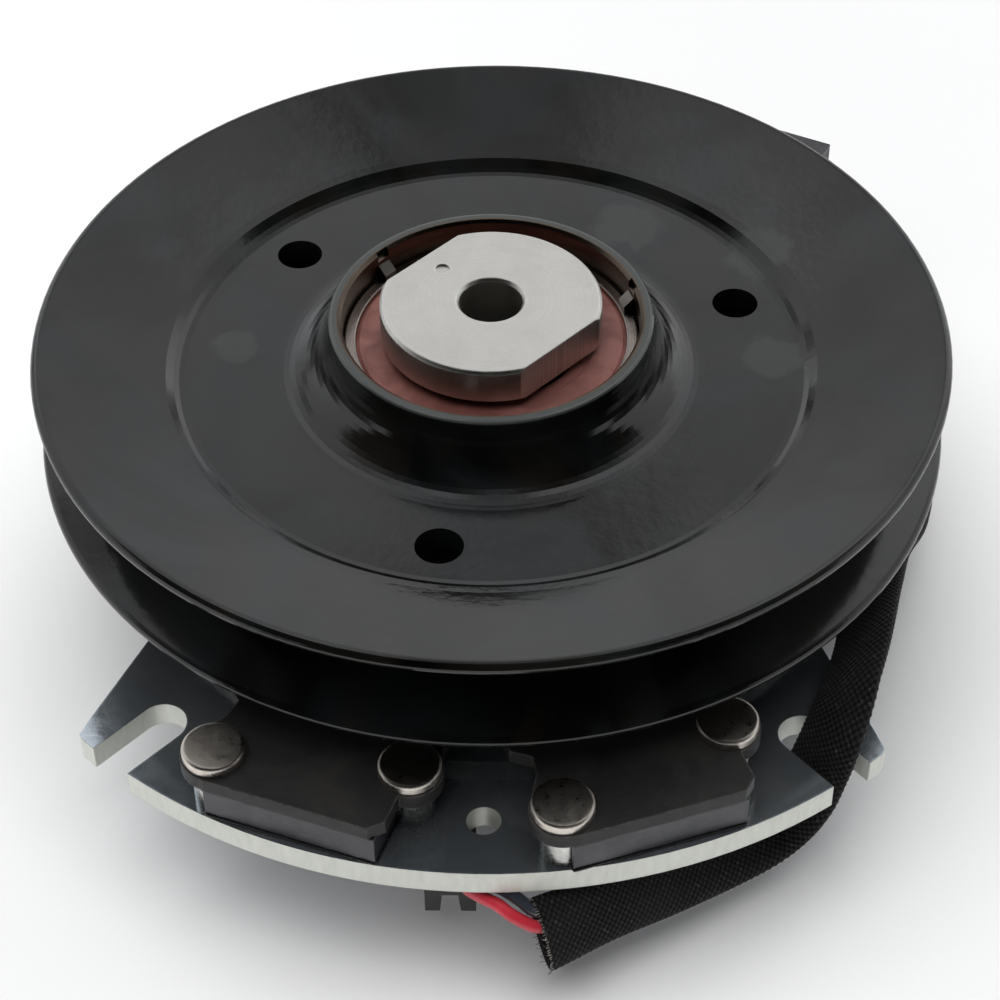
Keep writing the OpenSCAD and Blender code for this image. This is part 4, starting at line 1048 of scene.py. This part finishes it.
# %% Walls and ceiling of light
WALL_GLOW = 0.92
CEILING_BACK = 0.5
CEILING_FRONT = 0.0
SEEN_GLOW = 0.95
WALL_TOP_MIDDLE = 0.6
WALL_TOP_RISE = 0.45
WALL_CORNER = 0.7
WALL_FALL = 0.75
# Upright strips of the wall: bearing, half width, half width with its fade, change of glow.
BRIGHT_RIGHT = (0.62, 0.16, 0.3, 0.45, "ADD")
BRIGHT_LEFT = (-0.5, 0.05, 0.14, 0.4, "ADD")
DARK_SEAM = (-0.8, 0.02, 0.08, 0.45, "SUBTRACT")

sky = bpy.data.worlds.new("studio_sky")
sky.use_nodes = True
t = sky.node_tree
background = t.nodes["Background"]
background.inputs["Color"].default_value = (0.97, 0.98, 1.0, 1)
x, y, z = split(t, add(t, "ShaderNodeTexCoord").outputs["Generated"])
bearing = maths(t, "ARCTAN2", x, y)
to_side = maths(t, "ABSOLUTE", bearing)
wall_top = maths(t, "ADD", maths(t, "MINIMUM", to_side, WALL_TOP_RISE), WALL_TOP_MIDDLE)
past_corner = maths(t, "MAXIMUM", maths(t, "SUBTRACT", to_side, WALL_CORNER), 0.0)
wall_top = maths(t, "SUBTRACT", wall_top, maths(t, "MULTIPLY", past_corner, WALL_FALL))
wall = spread(t, maths(t, "SUBTRACT", z, wall_top), 0.0, 0.1, 1.0, 0.0)
glow = WALL_GLOW
for middle, half_width, faded, change, operation in (BRIGHT_RIGHT, BRIGHT_LEFT, DARK_SEAM):
    off = maths(t, "ABSOLUTE", maths(t, "SUBTRACT", bearing, middle))
    glow = maths(t, operation, glow, spread(t, off, half_width, faded, change, 0.0))
ceiling = spread(t, y, 0.02, 0.32, CEILING_FRONT, CEILING_BACK)
glow = add(t, "ShaderNodeMix", {0: wall, 2: ceiling, 3: glow}, data_type="FLOAT").outputs[0]
seen = add(t, "ShaderNodeLightPath").outputs["Is Camera Ray"]
strength = add(t, "ShaderNodeMix", {0: seen, 2: glow, 3: SEEN_GLOW}, data_type="FLOAT").outputs[0]
t.links.new(strength, background.inputs["Strength"])
bpy.context.scene.world = sky
print("room has", len(t.nodes), "nodes")

# %% Lamps


def soft_lamp(name, at, aim, size, glow):
    """A flat lamp. Its glow is how bright it looks, where 1 is white, whatever its size."""
    lamp = bpy.data.lights.new(name, "AREA")
    lamp.shape = "RECTANGLE"
    lamp.size, lamp.size_y = size
    lamp.energy = glow * math.pi * size[0] * size[1]
    holder = bpy.data.objects.new(name, lamp)
    bpy.context.scene.collection.objects.link(holder)
    holder.location = at
    holder.rotation_euler = (Vector(aim) - Vector(at)).to_track_quat("-Z", "Y").to_euler()
    holder.visible_glossy = False


soft_lamp("lamp_above", (-0.15, -0.1, 1.5), (0, 0, 0), (1.6, 1.6), 2.85)
soft_lamp("lamp_front", (-0.5, -1.3, 0.55), (0, 0, 0.03), (1.2, 0.5), 2.2)
bpy.context.scene.view_settings.view_transform = "Standard"
